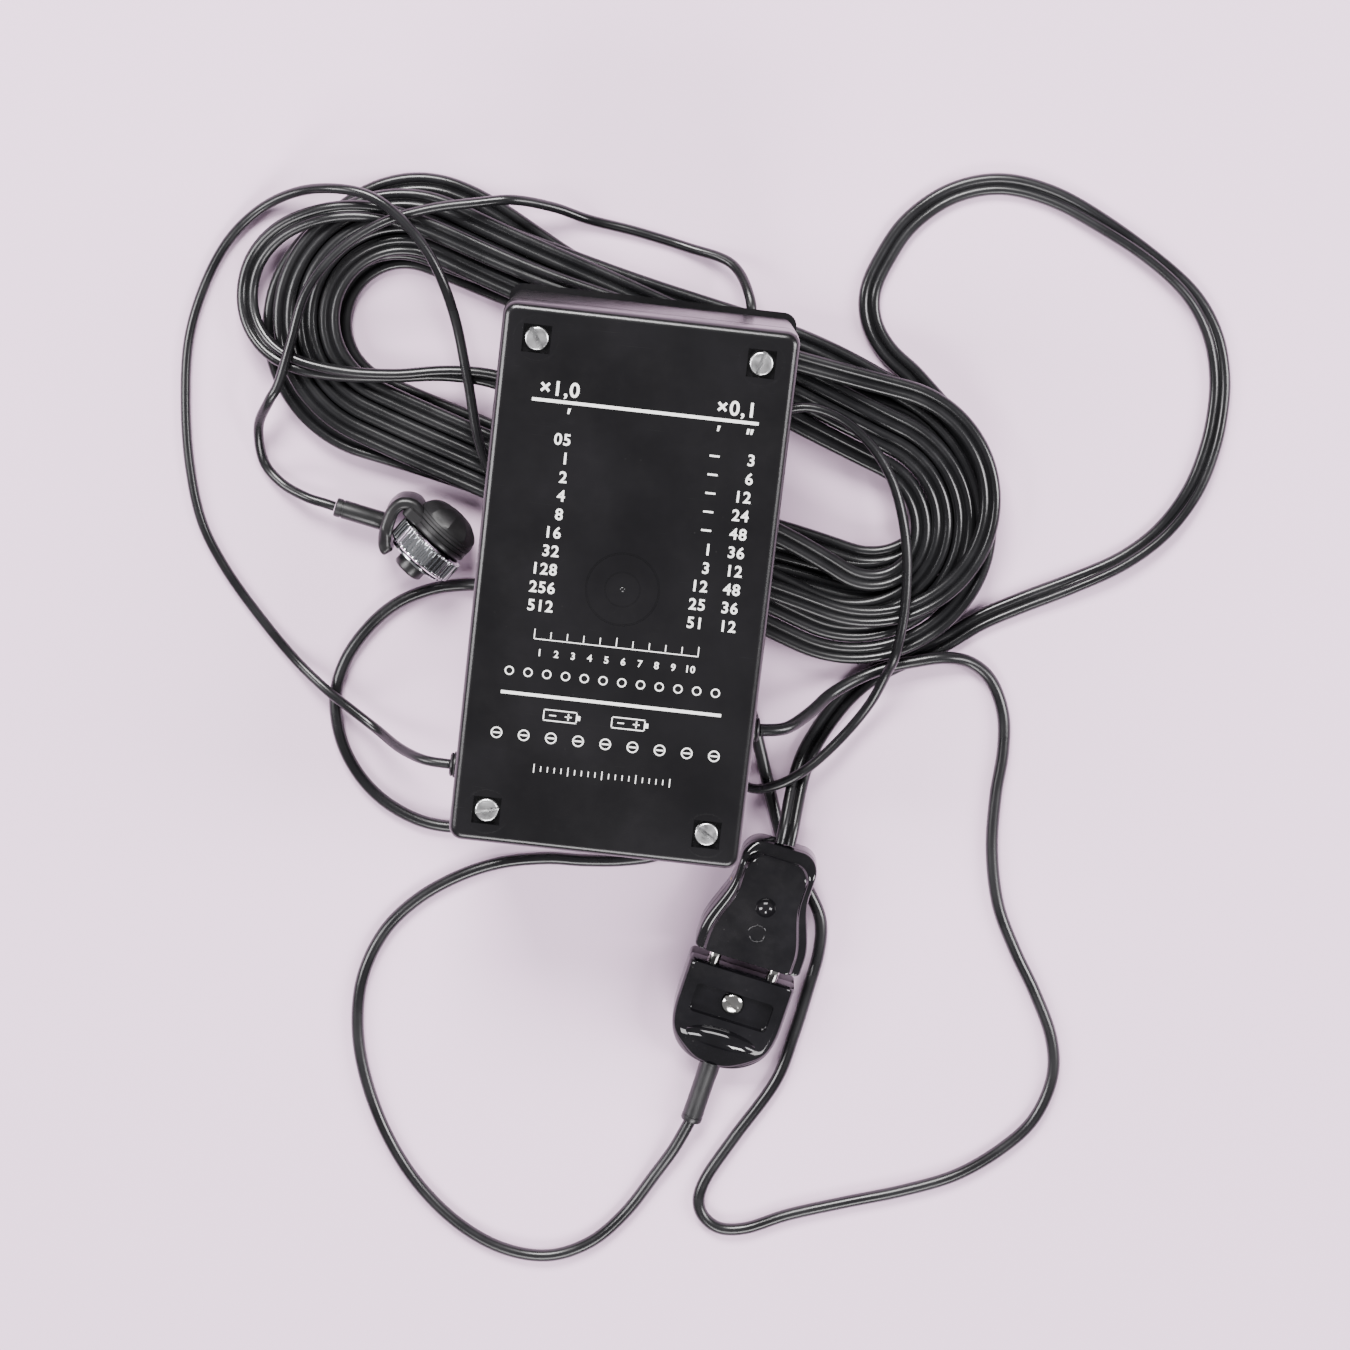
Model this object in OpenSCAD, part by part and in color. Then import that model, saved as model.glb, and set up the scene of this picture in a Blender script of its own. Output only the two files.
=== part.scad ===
// Battery interval timer in a two-part plastic case, lying base up,
// with its remote-release cord, its two-pin plug and coupling, and a long twin lead in a hank.
// Frame: +Z up, the floor at z = 0, the case's length along Y, its controls facing down.

/* [Case] */
// Width of the case across X
case_w = 86; // [80:1:92]
// Length of the case along Y
case_l = 160; // [156:1:170]
// Height of the case, base cover included
case_h = 50; // [46:1:56]
// Height of the base cover
cover_h = 10; // [8:1:12]
// Wall thickness
wall = 2.5; // [2:0.1:3]
// Radius of the case's upright corners
corner_r = 4; // [3:0.5:6]
// Fillet along the edge of the base face
edge_r = 2.5; // [1:0.5:3]
// Height of the controls' face above the floor
case_z = 21; // [21:0.5:24]

/* [Base screws] */
// Screw spacing across the width
screw_dx = 65; // [60:1:66]
// Screw spacing along the length
screw_dy = 140; // [134:1:142]
// Diameter of the cheese heads
screw_head_d = 7; // [6:0.5:8]
// Diameter of the screws' shanks
screw_d = 4; // [3:0.5:4]

/* [Controls] */
// Diameter of the selector knob
knob_d = 34; // [28:1:36]
// Place of the selector along Y
selector_y = -45; // [-47:1:-44]
// Diameter of the selector's shaft
shaft_d = 6; // [4:1:6]
// Travel of each slide switch
slide_travel = 4; // [3:0.5:4]
// Travel of the start button
button_travel = 2.5; // [1:0.5:3]

/* [Plug and coupling] */
// Distance between the two pins
pin_pitch = 19; // [18:0.5:19]
// Diameter of a pin
pin_d = 4; // [3:0.5:4]
// Gap left between the plug and the coupling
pair_gap = 3.8; // [3:0.1:5]
// Width of the plug across its face
plug_w = 34; // [32:0.5:36]
// Length of the plug
plug_l = 33.5; // [30:0.5:36]
// Thickness of the plug and of the coupling
plug_t = 14; // [13:0.5:16]
// Length of the coupling
coupling_l = 38; // [34:0.5:40]
// Width of the coupling at its cable end
coupling_rear_w = 24; // [22:0.5:26]

/* [Release head] */
// Diameter of the knurled ring
ring_d = 22.4; // [20:0.2:22.4]
// Width of the knurled ring
ring_w = 7.5; // [6:0.5:8]
// Number of knurls
knurls = 60; // [40:2:72]

/* [Cords] */
// Diameter of the remote-release cord
release_d = 3.1; // [2.8:0.1:3.2]
// Diameter of the plug's cord
plug_cord_d = 3.9; // [3.5:0.1:4]
// Width of the twin lead
twin_w = 6.6; // [6:0.1:6.8]
// Thickness of the twin lead
twin_t = 3.3; // [3:0.1:3.4]
// Height of the hank
hank_h = 13.4; // [12:0.1:13.4]

/* [Hidden] */
$fn = 48;

// Small allowances
fit_gap = 0.3;
eps = 0.05;

// Case levels
case_top = case_z + case_h;
split_z = case_top - cover_h;
panel_t = 0.5;
screw_sites = [for (sx = [-1, 1], sy = [-1, 1]) [sx * screw_dx / 2, sy * screw_dy / 2]];
pocket_w = 8.2;
pocket_d = 2.4;
boss_d = 9;
boss_foot_d = 13;
board_boss_d = 6;
insert_d = 6;
insert_h = 10;
screw_clear = 0.4;
screw_head_h = 2.1;

// Gate ring moulded in the middle of the base face
gate_r = 10.3;
gate_w = 0.6;
gate_depth = 0.4;

// Openings in the controls' face and side walls
button_hole_d = 12.2;
led_hole_d = 8.2;
grommet_hole_d = 7;
panel_margin = 4;

// Exits of the two cords
exit_z = case_z + 7.5;
release_y = -67;
plug_y = -46;
grommet_reach = 3;

// Selector
selector_at = [0, selector_y, 0];
knob_h = case_z - panel_t - fit_gap;
knob_step = 2;
knob_cap_d = 20;
knob_cap_t = 0.9;
knob_bush_d = 10;
knob_bush_l = 11;
knob_nut_clear_d = 19;
bushing_d = 9.4;
housing_d = 26;
housing_h = 14;

// Slide switches, start button and lamp: places on the controls' face
range_at = [15, -70];
power_at = [-15, -70];
button_at = [-28, -13];
led_at = [13, -13];
slider_w = 4;
slider_l = 6;
slider_reach = 3.4;
button_d = 9;
button_reach = 4;
led_d = 5;

// Circuit board
board_z = case_z + 25;
board_t = 1.6;
board_w = 72;
board_y0 = -60;
board_y1 = 30;
board_sites = [for (sx = [-1, 1], y = [board_y0 + 5, board_y1 - 5]) [sx * (board_w / 2 - 5), y]];

// Battery
battery_size = [48.5, 26.5, 17.5];
battery_at = [-2, 36, case_z + wall + 2.4];

// Plug and coupling: place of the plug's face, heading and slope
pair_at = [50.5, -124.5, 0];
pair_turn = -11.3;
pair_slope = 5;
pin_z = plug_t / 2;
part_z = plug_t / 2;
sleeve_d = 6.7;
sleeve_l = 20;
plug_screw_y = -10.6;
recess_w = 25;
recess_l = 9.6;
bowl_y = 19.3;

// Release head: centre of the ring, heading of its axis
head_at = [-60.5, -5, 11.4];
head_turn = 54;
head_sleeve_l = 16.5;
head_sleeve_d = 5.8;

// Hank: centres of its two round ends, outer radius
hank_a = [-74, 62];
hank_b = [70, 22];
hank_r = 44;

// Jack plug on the far end of the twin lead
jack_at = [-31, -34, 5.2];
jack_boot_l = 10;
jack_barrel_l = 22;
jack_tip_l = 14;
jack_tip_d = 3.5;

// Routes of the cords: hand-placed points, in mm
release_route = [
  [-46, -67, 28.5], [-54, -67, 26.5], [-62, -66, 18.5], [-70, -63, 9.5], [-79, -58, 6.6], [-87, -53, 5.9],
  [-98, -45, 2.4], [-111, -32, 1.6], [-122, -19, 1.6], [-130, -6, 1.6], [-135, 10, 1.6],
  [-138, 28, 1.6], [-139, 48, 1.6], [-136, 65, 1.6], [-130, 80, 1.7], [-121, 91, 3],
  [-110, 98, 8], [-98, 101, 15.6], [-87, 100, 18.2], [-77, 94, 18.8], [-67, 83, 17.6],
  [-59, 67, 15.4], [-53, 48, 15.2], [-47, 28, 15.2], [-38, 15, 15.2], [-23, 12, 15.2],
  [-4, 18, 15.2], [15, 30, 15.2], [32, 43, 15.2], [46, 51, 15.2], [58, 50, 15.2],
  [69, 43, 15.2], [77, 33, 15.2], [82, 21, 15.2], [85, 8, 15.2], [86, -7, 15.4],
  [85, -20.5, 15.6], [83, -28, 12], [80, -37, 8.5], [75, -46, 6.9], [68, -55, 8.1],
  [61, -62, 9.1], [54, -67, 7.9], [46, -69.5, 4.6], [38, -65, 1.8], [33, -54, 1.6],
  [30, -39, 4.2], [28, -27, 6.9], [27, -19, 12.6], [26.5, -12, 15.8], [25, 4, 17.4],
  [24, 22, 18.6], [24, 38, 18.6], [26, 56, 17], [29, 73, 15.8], [28.5, 82, 15],
  [22, 91, 7], [8, 94, 2], [-8, 97, 1.8], [-22, 99, 2.8], [-33, 102, 8],
  [-45, 103.5, 14.8], [-56, 101.5, 15.6], [-70, 98, 15.3], [-84, 92, 15.3], [-96, 82, 15.3],
  [-104, 69, 15.3], [-107, 54, 15.3], [-109.5, 41, 15.4], [-112, 35, 14], [-115, 26, 6.5],
  [-113, 15, 1.9], [-107, 9, 3.2], [-99, 6, 6.6], [-92.5, 4.8, 7.9], [-89.6, 4.2, 8]
];
plug_route = [
  [46, -46, 28.5], [54, -45, 26], [61, -41, 18.5], [67, -36, 11.5], [75, -31, 7.4],
  [83, -27, 6], [92, -24, 5.8], [101, -22, 5], [109, -23, 2.8], [116, -28, 2],
  [121, -38, 2], [122.5, -50, 2], [122, -64, 2], [123, -81, 2], [127, -98, 2],
  [134, -112, 2], [142, -125, 2], [149, -139, 2], [151, -152, 2], [147, -166, 2],
  [138, -177, 2], [125, -187, 2], [109, -194, 2], [91, -200, 2], [74, -206, 2],
  [61, -212, 2], [52, -212.5, 2], [46, -207, 2], [46.5, -198, 2], [54, -183, 2],
  [65, -163, 2], [69, -147, 2], [71.5, -133, 2], [73.5, -120, 2], [73, -110, 2],
  [69, -102, 2], [63, -94, 2], [58, -85, 2], [53, -72, 2], [48, -58, 2],
  [43, -45, 2], [34, -33, 2], [20, -25, 2], [4, -21, 2], [-12, -18, 2.2],
  [-21, -16.5, 4.6], [-30, -16, 5.8], [-39, -15.5, 4.6], [-48, -16.5, 2.2], [-58, -19, 2],
  [-68, -24.5, 2], [-76, -33, 2], [-82, -44, 2], [-84, -56, 2], [-81, -69, 2],
  [-74, -80, 2], [-64, -88, 2], [-51, -92.5, 2], [-37, -91.5, 2], [-22, -84, 2],
  [-8, -75, 2], [6, -72, 2], [18, -73, 2], [26.5, -79, 2], [27.5, -87, 2],
  [21, -94, 2], [10, -97.3, 2], [-2, -98.8, 2], [-14, -99.5, 2], [-28, -102.5, 2], [-41, -108.5, 2], [-53, -117.5, 2],
  [-62, -129, 2], [-67, -144, 2], [-67, -160, 2], [-63, -176, 2], [-55, -193, 2],
  [-44, -208, 2], [-30, -220, 2], [-15, -227, 2], [0, -228, 2], [13, -222, 2],
  [23, -211, 2], [31, -197, 2.6], [35.9, -187.5, 4], [39.9, -177.3, 5.2]
];
twin_route = [
  [58.6, -84, 13.5], [59.1, -79.2, 12.6], [59.6, -73.8, 9.9], [60.2, -68.2, 6.5], [61.1, -62.6, 3.6],
  [62.7, -56.6, 1.95], [67, -47, 1.75], [72.5, -38, 1.75], [79.5, -30.5, 1.75], [88.5, -24.5, 1.75], [99, -18.5, 1.75],
  [110, -10, 1.75], [122, -3, 1.75], [137, 5, 1.75], [151, 13.5, 1.75], [162, 24, 1.75],
  [169.5, 37, 1.75], [173, 50, 1.75], [174, 62, 1.75], [173, 74, 1.75], [169, 86, 1.75],
  [161, 97, 1.75], [148, 106.5, 1.75], [132, 115, 1.75], [116, 121.5, 1.75], [100, 123.5, 1.75],
  [85.5, 119, 1.75], [74, 109, 1.75], [67, 96, 1.75], [63, 81, 1.75], [62, 65.7, 1.75]
];
tail_route = [[-30, 3.8, 1.75], [-30, -6, 1.75], [-30, -17, 1.75], [-30.6, -26, 2.8], [-31, -33.9, 5.2]];

// ---- helpers ----

// A smooth curve through the points of a route, n samples in each stretch
function catmull(a, b, c, d, t) =
  0.5 * (2 * b + (c - a) * t + (2 * a - 5 * b + 4 * c - d) * t * t + (3 * b - a - 3 * c + d) * t * t * t);
function route_at(p, i, t) =
  let (last = len(p) - 1)
  catmull(p[max(i - 1, 0)], p[i], p[min(i + 1, last)], p[min(i + 2, last)], t);
function smooth(p, n) = concat(
  [for (i = [0 : len(p) - 2], j = [0 : n - 1]) route_at(p, i, j / n)], [p[len(p) - 1]]);
function unit(v) = v / norm(v);
// A cord of oval section swept along a route as one closed polyhedron
module cord_tube(route, n, w, h, sides = 8) {
  c = smooth(route, n);
  last = len(c) - 1;
  pts = [for (i = [0 : last])
    let (t = unit(c[min(i + 1, last)] - c[max(i - 1, 0)]), s = unit(cross(t, [0, 0, 1])), u = cross(s, t))
    for (k = [0 : sides - 1])
      let (a = 360 * (k + 0.5) / sides)
      c[i] + s * (w / 2 * cos(a)) + u * (h / 2 * sin(a))];
  side_faces = [for (i = [0 : last - 1], k = [0 : sides - 1])
    let (k2 = (k + 1) % sides)
    [i * sides + k, (i + 1) * sides + k, (i + 1) * sides + k2, i * sides + k2]];
  start_cap = [for (k = [0 : sides - 1]) k];
  end_cap = [for (k = [sides - 1 : -1 : 0]) last * sides + k];
  polyhedron(points = pts, faces = concat([start_cap], side_faces, [end_cap]), convexity = 10);
}

// A rectangle with round corners, centred
module round_rect(w, l, r) {
  union() {
    square([w - 2 * r, l], center = true);
    square([w, l - 2 * r], center = true);
    for (sx = [-1, 1], sy = [-1, 1])
      translate([sx * (w / 2 - r), sy * (l / 2 - r)])
        circle(r = r);
  }
}

// A closed block standing on a rounded rectangle
module round_block(w, l, h, r) {
  linear_extrude(height = h)
    round_rect(w, l, r);
}

// A slotted cheese-head screw, its head's underside at z = 0 and its shank below
module slotted_screw(head_d, head_h, shank_d, shank_l, slot_turn = 0) {
  difference() {
    union() {
      cylinder(d = head_d, h = head_h);
      translate([0, 0, -shank_l])
        cylinder(d = shank_d, h = shank_l + eps);
    }
    rotate([0, 0, slot_turn])
      translate([-head_d, -head_d * 0.08, head_h * 0.5])
        cube([2 * head_d, head_d * 0.16, head_h]);
  }
}

module at_sites(sites, z) {
  for (s = sites)
    translate([s[0], s[1], z])
      children();
}

module at_pair() {
  translate(pair_at)
    rotate([0, 0, pair_turn])
      translate([0, -plug_l, 0])
        rotate([pair_slope, 0, 0])
          translate([0, plug_l, 0])
            children();
}

// The head's own frame: +X along the ring's axis, +Y to its left, +Z up
module at_head() {
  translate(head_at)
    rotate([0, 0, head_turn])
      children();
}

module along_axis(x, d, l) {
  translate([x, 0, 0])
    rotate([0, 90, 0])
      cylinder(d = d, h = l);
}

// ---- case ----

module case_body() {
  color("#1b1b1d")
    difference() {
      union() {
        difference() {
          translate([0, 0, case_z])
            round_block(case_w, case_l, case_h - cover_h, corner_r);
          translate([0, 0, case_z + wall])
            round_block(case_w - 2 * wall, case_l - 2 * wall, case_h, corner_r - 1.5);
        }
        at_sites(screw_sites, case_z + wall - eps)
          cylinder(d = boss_d, h = split_z - case_z - wall + eps);
        at_sites(board_sites, case_z + wall - eps)
          cylinder(d = board_boss_d, h = board_z - case_z - wall + eps);
      }
      at_sites(screw_sites, split_z - insert_h)
        cylinder(d = insert_d, h = insert_h + 1);
      at_sites(screw_sites, split_z - insert_h - 8)
        cylinder(d = screw_d + screw_clear, h = insert_h + 1);
      at_sites(board_sites, board_z - 8)
        cylinder(d = 2.5, h = 9);
      translate([0, selector_y, case_z - 1])
        cylinder(d = bushing_d + 0.2, h = wall + 2);
      for (s = [range_at, power_at])
        translate([s[0], s[1], case_z + wall / 2])
          cube([slider_w + slide_travel + 2 * fit_gap, slider_l + 2 * fit_gap, wall + 2], center = true);
      translate([button_at[0], button_at[1], case_z - 1])
        cylinder(d = button_hole_d, h = wall + 2);
      translate([led_at[0], led_at[1], case_z - 1])
        cylinder(d = led_hole_d, h = wall + 2);
      translate([-case_w / 2 - 1, release_y, exit_z])
        rotate([0, 90, 0])
          cylinder(d = grommet_hole_d, h = wall + 2);
      translate([case_w / 2 - wall - 1, plug_y, exit_z])
        rotate([0, 90, 0])
          cylinder(d = grommet_hole_d, h = wall + 2);
    }
}

// The base cover's shape: flat face, filleted rim, square screw pockets
module cover_shell() {
  steps = 6;
  round_block_h = cover_h - edge_r;
  translate([0, 0, split_z])
    round_block(case_w, case_l, round_block_h + eps, corner_r);
  for (i = [1 : steps])
    let (a0 = 90 * (i - 1) / steps, a1 = 90 * i / steps, inset = edge_r * (1 - cos(a1)))
      translate([0, 0, split_z + round_block_h + edge_r * sin(a0)])
        round_block(case_w - 2 * inset, case_l - 2 * inset, edge_r * (sin(a1) - sin(a0)) + eps / steps, corner_r - inset / 2);
}

module base_cover() {
  color("#18181a")
    difference() {
      union() {
        difference() {
          cover_shell();
          translate([0, 0, split_z - 1])
            round_block(case_w - 2 * wall, case_l - 2 * wall, cover_h - wall + 1, corner_r - 1.5);
        }
        at_sites(screw_sites, split_z)
          cylinder(d = boss_foot_d, h = cover_h - wall);
      }
      at_sites(screw_sites, split_z - 1)
        cylinder(d = screw_d + screw_clear, h = cover_h + 2);
      at_sites(screw_sites, case_top - pocket_d)
        translate([-pocket_w / 2, -pocket_w / 2, 0])
          cube([pocket_w, pocket_w, pocket_d + 1]);
      translate([0, 0, case_top - gate_depth])
        difference() {
          cylinder(r = gate_r + gate_w, h = 1);
          translate([0, 0, -1])
            cylinder(r = gate_r, h = 3);
        }
    }
}

module base_screws() {
  turns = [14, 123, 148, 76];
  color("#c9ccd0")
    for (i = [0 : 3])
      translate([screw_sites[i][0], screw_sites[i][1], case_top - pocket_d])
        slotted_screw(screw_head_d, screw_head_h, screw_d - 0.1, cover_h + 6, turns[i]);
}

module case_inserts() {
  color("#b59a4a")
    at_sites(screw_sites, split_z - insert_h)
      difference() {
        cylinder(d = insert_d, h = insert_h - 0.4);
        translate([0, 0, -1])
          cylinder(d = screw_d, h = insert_h + 2);
      }
}

module control_panel() {
  color("#b9bcc0")
    translate([0, 0, case_z - panel_t])
      difference() {
        round_block(case_w - 2 * panel_margin, case_l - 2 * panel_margin, panel_t, 2);
        translate([0, selector_y, -1])
          cylinder(d = bushing_d + 0.4, h = 3);
        for (s = [range_at, power_at])
          translate([s[0], s[1], 0])
            cube([slider_w + slide_travel + 2, slider_l + 2, 4], center = true);
        translate([button_at[0], button_at[1], -1])
          cylinder(d = button_hole_d + 0.2, h = 3);
        translate([led_at[0], led_at[1], -1])
          cylinder(d = led_hole_d + 0.2, h = 3);
      }
}

// ---- selector ----

module selector_knob() {
  flutes = 18;
  color("#161617")
    translate(selector_at)
      difference() {
        union() {
          cylinder(d = knob_d - 2 * knob_step, h = knob_step);
          translate([0, 0, knob_step])
            cylinder(d = knob_d, h = knob_h - knob_step);
        }
        translate([0, 0, knob_h - 4.6])
          cylinder(d = knob_nut_clear_d, h = 6);
        translate([0, 0, 3.4])
          cylinder(d = knob_bush_d + 0.04, h = knob_h);
        translate([0, 0, -1])
          cylinder(d = knob_cap_d, h = 2.2);
        for (i = [0 : flutes - 1])
          rotate([0, 0, 360 * (i + 0.5) / flutes])
            translate([knob_d / 2 + 1.1, 0, 2.5])
              cylinder(d = 4, h = knob_h - 5, $fn = 24);
      }
}

module knob_cap() {
  color("#c4c7cb")
    translate([0, selector_y, 0.3])
      cylinder(d = knob_cap_d - 0.1, h = knob_cap_t);
}

module knob_bush() {
  color("#b59a4a")
    translate([0, selector_y, 3.5])
      difference() {
        cylinder(d = knob_bush_d, h = knob_bush_l);
        translate([0, 0, -1])
          cylinder(d = shaft_d, h = knob_bush_l + 2);
      }
}

module selector_shaft() {
  color("#a9adb2")
    translate([0, selector_y, 4])
      cylinder(d = shaft_d, h = case_z + wall + 10 - 4);
}

module selector_bushing() {
  color("#b59a4a")
    translate([0, selector_y, case_z - 2.9])
      difference() {
        cylinder(d = bushing_d, h = 2.9 + wall - eps);
        translate([0, 0, -1])
          cylinder(d = shaft_d + 0.08, h = wall + 6);
      }
}

module selector_nut() {
  color("#c9ccd0")
    translate([0, selector_y, case_z - panel_t - 2.1])
      difference() {
        cylinder(d = 15, h = 2, $fn = 6);
        translate([0, 0, -1])
          cylinder(d = bushing_d + 0.04, h = 4);
      }
}

module selector_housing() {
  color("#7a4a2a")
    translate([0, selector_y, case_z + wall + 0.1])
      difference() {
        union() {
          cylinder(d = housing_d, h = housing_h);
          for (i = [0 : 11])
            rotate([0, 0, 30 * i])
              translate([housing_d / 2 - 4, -0.8, housing_h - 1])
                cube([2, 1.6, 4]);
        }
        translate([0, 0, 2])
          cylinder(d = 20, h = housing_h - 5);
        translate([0, 0, -1])
          cylinder(d = shaft_d + 0.08, h = 6);
      }
}

module selector_rotor() {
  color("#d8c27a")
    translate([0, selector_y, case_z + wall + 6])
      difference() {
        union() {
          cylinder(d = 17, h = 2);
          translate([6, -1.5, 2 - eps])
            cube([3, 3, 1.6]);
        }
        translate([0, 0, -1])
          cylinder(d = shaft_d, h = 4);
      }
}

// ---- slide switches ----

module slider(at) {
  translate([at[0] - slide_travel / 2, at[1], 0]) {
    translate([-slider_w / 2, -slider_l / 2, case_z - slider_reach])
      cube([slider_w, slider_l, slider_reach + wall + 2]);
    translate([-slider_w / 2 - 1, -slider_l / 2 - 1.5, case_z + wall + 1.5])
      cube([slider_w + 2, slider_l + 3, 2.5]);
  }
}

module range_slider() {
  color("#d3302a")
    slider(range_at);
}

module power_slider() {
  color("#e4e4e2")
    slider(power_at);
}

module switch_housings() {
  color("#9ea2a6")
    for (s = [range_at, power_at])
      translate([s[0], s[1], case_z + wall + 0.1])
        difference() {
          translate([-8.5, -7, 0])
            cube([17, 14, 8]);
          translate([-6, -5.4, 0.9])
            cube([12, 10.8, 5]);
          translate([0, 0, 0])
            cube([slider_w + slide_travel + 0.8, slider_l + 0.8, 4], center = true);
        }
}

// ---- start button and lamp ----

module start_button() {
  color("#c8201c")
    translate([button_at[0], button_at[1], case_z]) {
      translate([0, 0, -button_reach])
        cylinder(d = button_d, h = button_reach + wall + 1.5);
      translate([0, 0, wall + 1.4])
        cylinder(d = button_d + 1, h = 1.2);
    }
}

module button_bushing() {
  color("#c9ccd0")
    translate([button_at[0], button_at[1], case_z])
      difference() {
        union() {
          cylinder(d = 12, h = wall + 10);
          translate([0, 0, -panel_t - 1.2])
            cylinder(d = 14.5, h = 1.2);
          translate([0, 0, -panel_t - eps])
            cylinder(d = 12, h = panel_t + 2 * eps);
        }
        translate([0, 0, -3])
          cylinder(d = button_d + 0.16, h = wall + 4);
        translate([0, 0, wall + 1])
          cylinder(d = button_d + 1.4, h = 5 + button_travel);
      }
}

module button_spring() {
  turns = 4;
  spring_z0 = case_z + wall + 2.9;
  spring_h = 5.0;
  n = turns * 12;
  helix = [for (i = [0 : n])
    [button_at[0] + 3.4 * cos(30 * i), button_at[1] + 3.4 * sin(30 * i), spring_z0 + spring_h * i / n]];
  color("#9a9da1")
    cord_tube(helix, 1, 0.6, 0.6, 6);
}

module led_lens() {
  color("#b3201c")
    translate([led_at[0], led_at[1], case_z]) {
      translate([0, 0, -panel_t - 1.4])
        cylinder(d = led_d - 1, h = 1.2);
      translate([0, 0, -panel_t - 0.6])
        cylinder(d = led_d, h = 7);
    }
}

module led_bezel() {
  color("#c9ccd0")
    translate([led_at[0], led_at[1], case_z])
      difference() {
        union() {
          translate([0, 0, -panel_t - 0.9])
            cylinder(d = 10, h = 0.9);
          translate([0, 0, -panel_t - eps])
            cylinder(d = 8, h = panel_t + wall + 2);
        }
        translate([0, 0, -4])
          cylinder(d = led_d + 0.1, h = wall + 9);
      }
}

// ---- circuit ----

module circuit_board() {
  color("#3c6b3a")
    difference() {
      translate([-board_w / 2, board_y0, board_z])
        cube([board_w, board_y1 - board_y0, board_t]);
      at_sites(board_sites, board_z - 1)
        cylinder(d = 3.2, h = board_t + 2);
    }
}

module board_screws() {
  color("#c9ccd0")
    at_sites(board_sites, board_z + board_t + eps)
      slotted_screw(5.5, 2, 2.4, 7, 30);
}

module relay() {
  color("#2b4a7a")
    translate([-30, -40, board_z + board_t + eps])
      round_block_corner(16, 20, 11);
}

// A moulded part standing on its lower left corner
module round_block_corner(w, l, h) {
  translate([w / 2, l / 2, 0])
    round_block(w, l, h, 1);
}

module timer_chip() {
  color("#202022")
    translate([2, -20, board_z + board_t + eps]) {
      translate([0, 0, 0.6])
        cube([20, 6.4, 3.4]);
      for (i = [0 : 7], s = [-0.6, 6.4])
        translate([0.9 + 2.5 * i, s, 0])
          cube([0.8, 0.6, 2.4]);
    }
}

module capacitors() {
  color("#39506e")
    for (c = [[24, 0, 8], [24, 13, 8], [10, 4, 5], [-4, 6, 6.3]])
      translate([c[0], c[1], board_z + board_t + eps])
        cylinder(d = c[2], h = 11);
}

module resistors() {
  color("#c8a878")
    for (i = [0 : 7])
      translate([-8, -52 + 4 * i, board_z + board_t + 1.3])
        rotate([0, 90, 0])
          union() {
            cylinder(d = 2.4, h = 6.5);
            translate([0, 0, -3])
              cylinder(d = 0.6, h = 12.5);
          }
}

module trimmer() {
  color("#2c5fa8")
    translate([-24, 4, board_z + board_t + eps])
      difference() {
        cube([10, 10, 4.5]);
        translate([5, 5, 3])
          cylinder(d = 5, h = 2);
      }
}

module battery() {
  color("#8f3a2a")
    translate(battery_at)
      translate([0, battery_size[1] / 2, 0])
        union() {
          round_block(battery_size[0], battery_size[1], battery_size[2], 2);
          for (s = [-6.35, 6.35])
            translate([battery_size[0] / 2 - eps, s, battery_size[2] / 2])
              rotate([0, 90, 0])
                cylinder(d = 6, h = 2.5);
        }
}

module battery_snap() {
  color("#151516")
    translate([battery_at[0] + battery_size[0] / 2 + 0.4, battery_at[1], battery_at[2]])
      difference() {
        translate([0, 0, 1])
          cube([5, battery_size[1], battery_size[2] - 2]);
        for (s = [-6.35, 6.35])
          translate([-1, battery_size[1] / 2 + s, battery_size[2] / 2])
            rotate([0, 90, 0])
              cylinder(d = 6.3, h = 3.4);
      }
}

module battery_pad() {
  color("#4a4a4e")
    translate([-24, 38, case_z + wall])
      cube([44, 22, 2.3]);
}

// ---- cord exits ----

module grommet(bore_d) {
  difference() {
    union() {
      cylinder(d = 6.9, h = wall + 0.2);
      translate([0, 0, wall + 0.1])
        cylinder(d1 = 9, d2 = 7, h = grommet_reach - 0.1);
      translate([0, 0, -1.5])
        cylinder(d = 9, h = 1.5);
    }
    translate([0, 0, -2])
      cylinder(d = bore_d, h = wall + grommet_reach + 1.6);
  }
}

module release_grommet() {
  color("#121213")
    translate([-case_w / 2 + wall, release_y, exit_z])
      rotate([0, -90, 0])
        grommet(release_d + 0.1);
}

module plug_grommet() {
  color("#121213")
    translate([case_w / 2 - wall, plug_y, exit_z])
      rotate([0, 90, 0])
        grommet(plug_cord_d + 0.1);
}

// ---- remote-release cord and its head ----

module release_cord() {
  color("#19191b")
    cord_tube(release_route, 1, release_d, release_d);
}

// The sleeve's own frame starts at the head's cable side and heads away from the head
module at_head_sleeve() {
  translate([-73.2, 1.1, 8])
    rotate([0, 0, 169.3])
      rotate([0, 90, 0])
        children();
}

module release_sleeve() {
  color("#141415")
    at_head_sleeve()
      cylinder(d = head_sleeve_d, h = head_sleeve_l);
}

module head_body() {
  color("#131314")
    at_head() {
      difference() {
        union() {
          along_axis(ring_w / 2 + 0.35, 20, 3.4);
          translate([-5.5, ring_d / 2 + 0.5, -ring_d / 2 + 2])
            cube([15, 3.2, ring_d - 6]);
          translate([ring_w / 2 + 0.35, 4, -ring_d / 2 + 2])
            cube([3.4, ring_d / 2 - 2, ring_d - 6]);
        }
        along_axis(0, 7, 20);
      }
      difference() {
        along_axis(-ring_w / 2 - 0.6, 7 - 0.1, ring_w + 2);
        along_axis(-ring_w / 2 - 2, 3, ring_w + 4);
      }
    }
}

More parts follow.
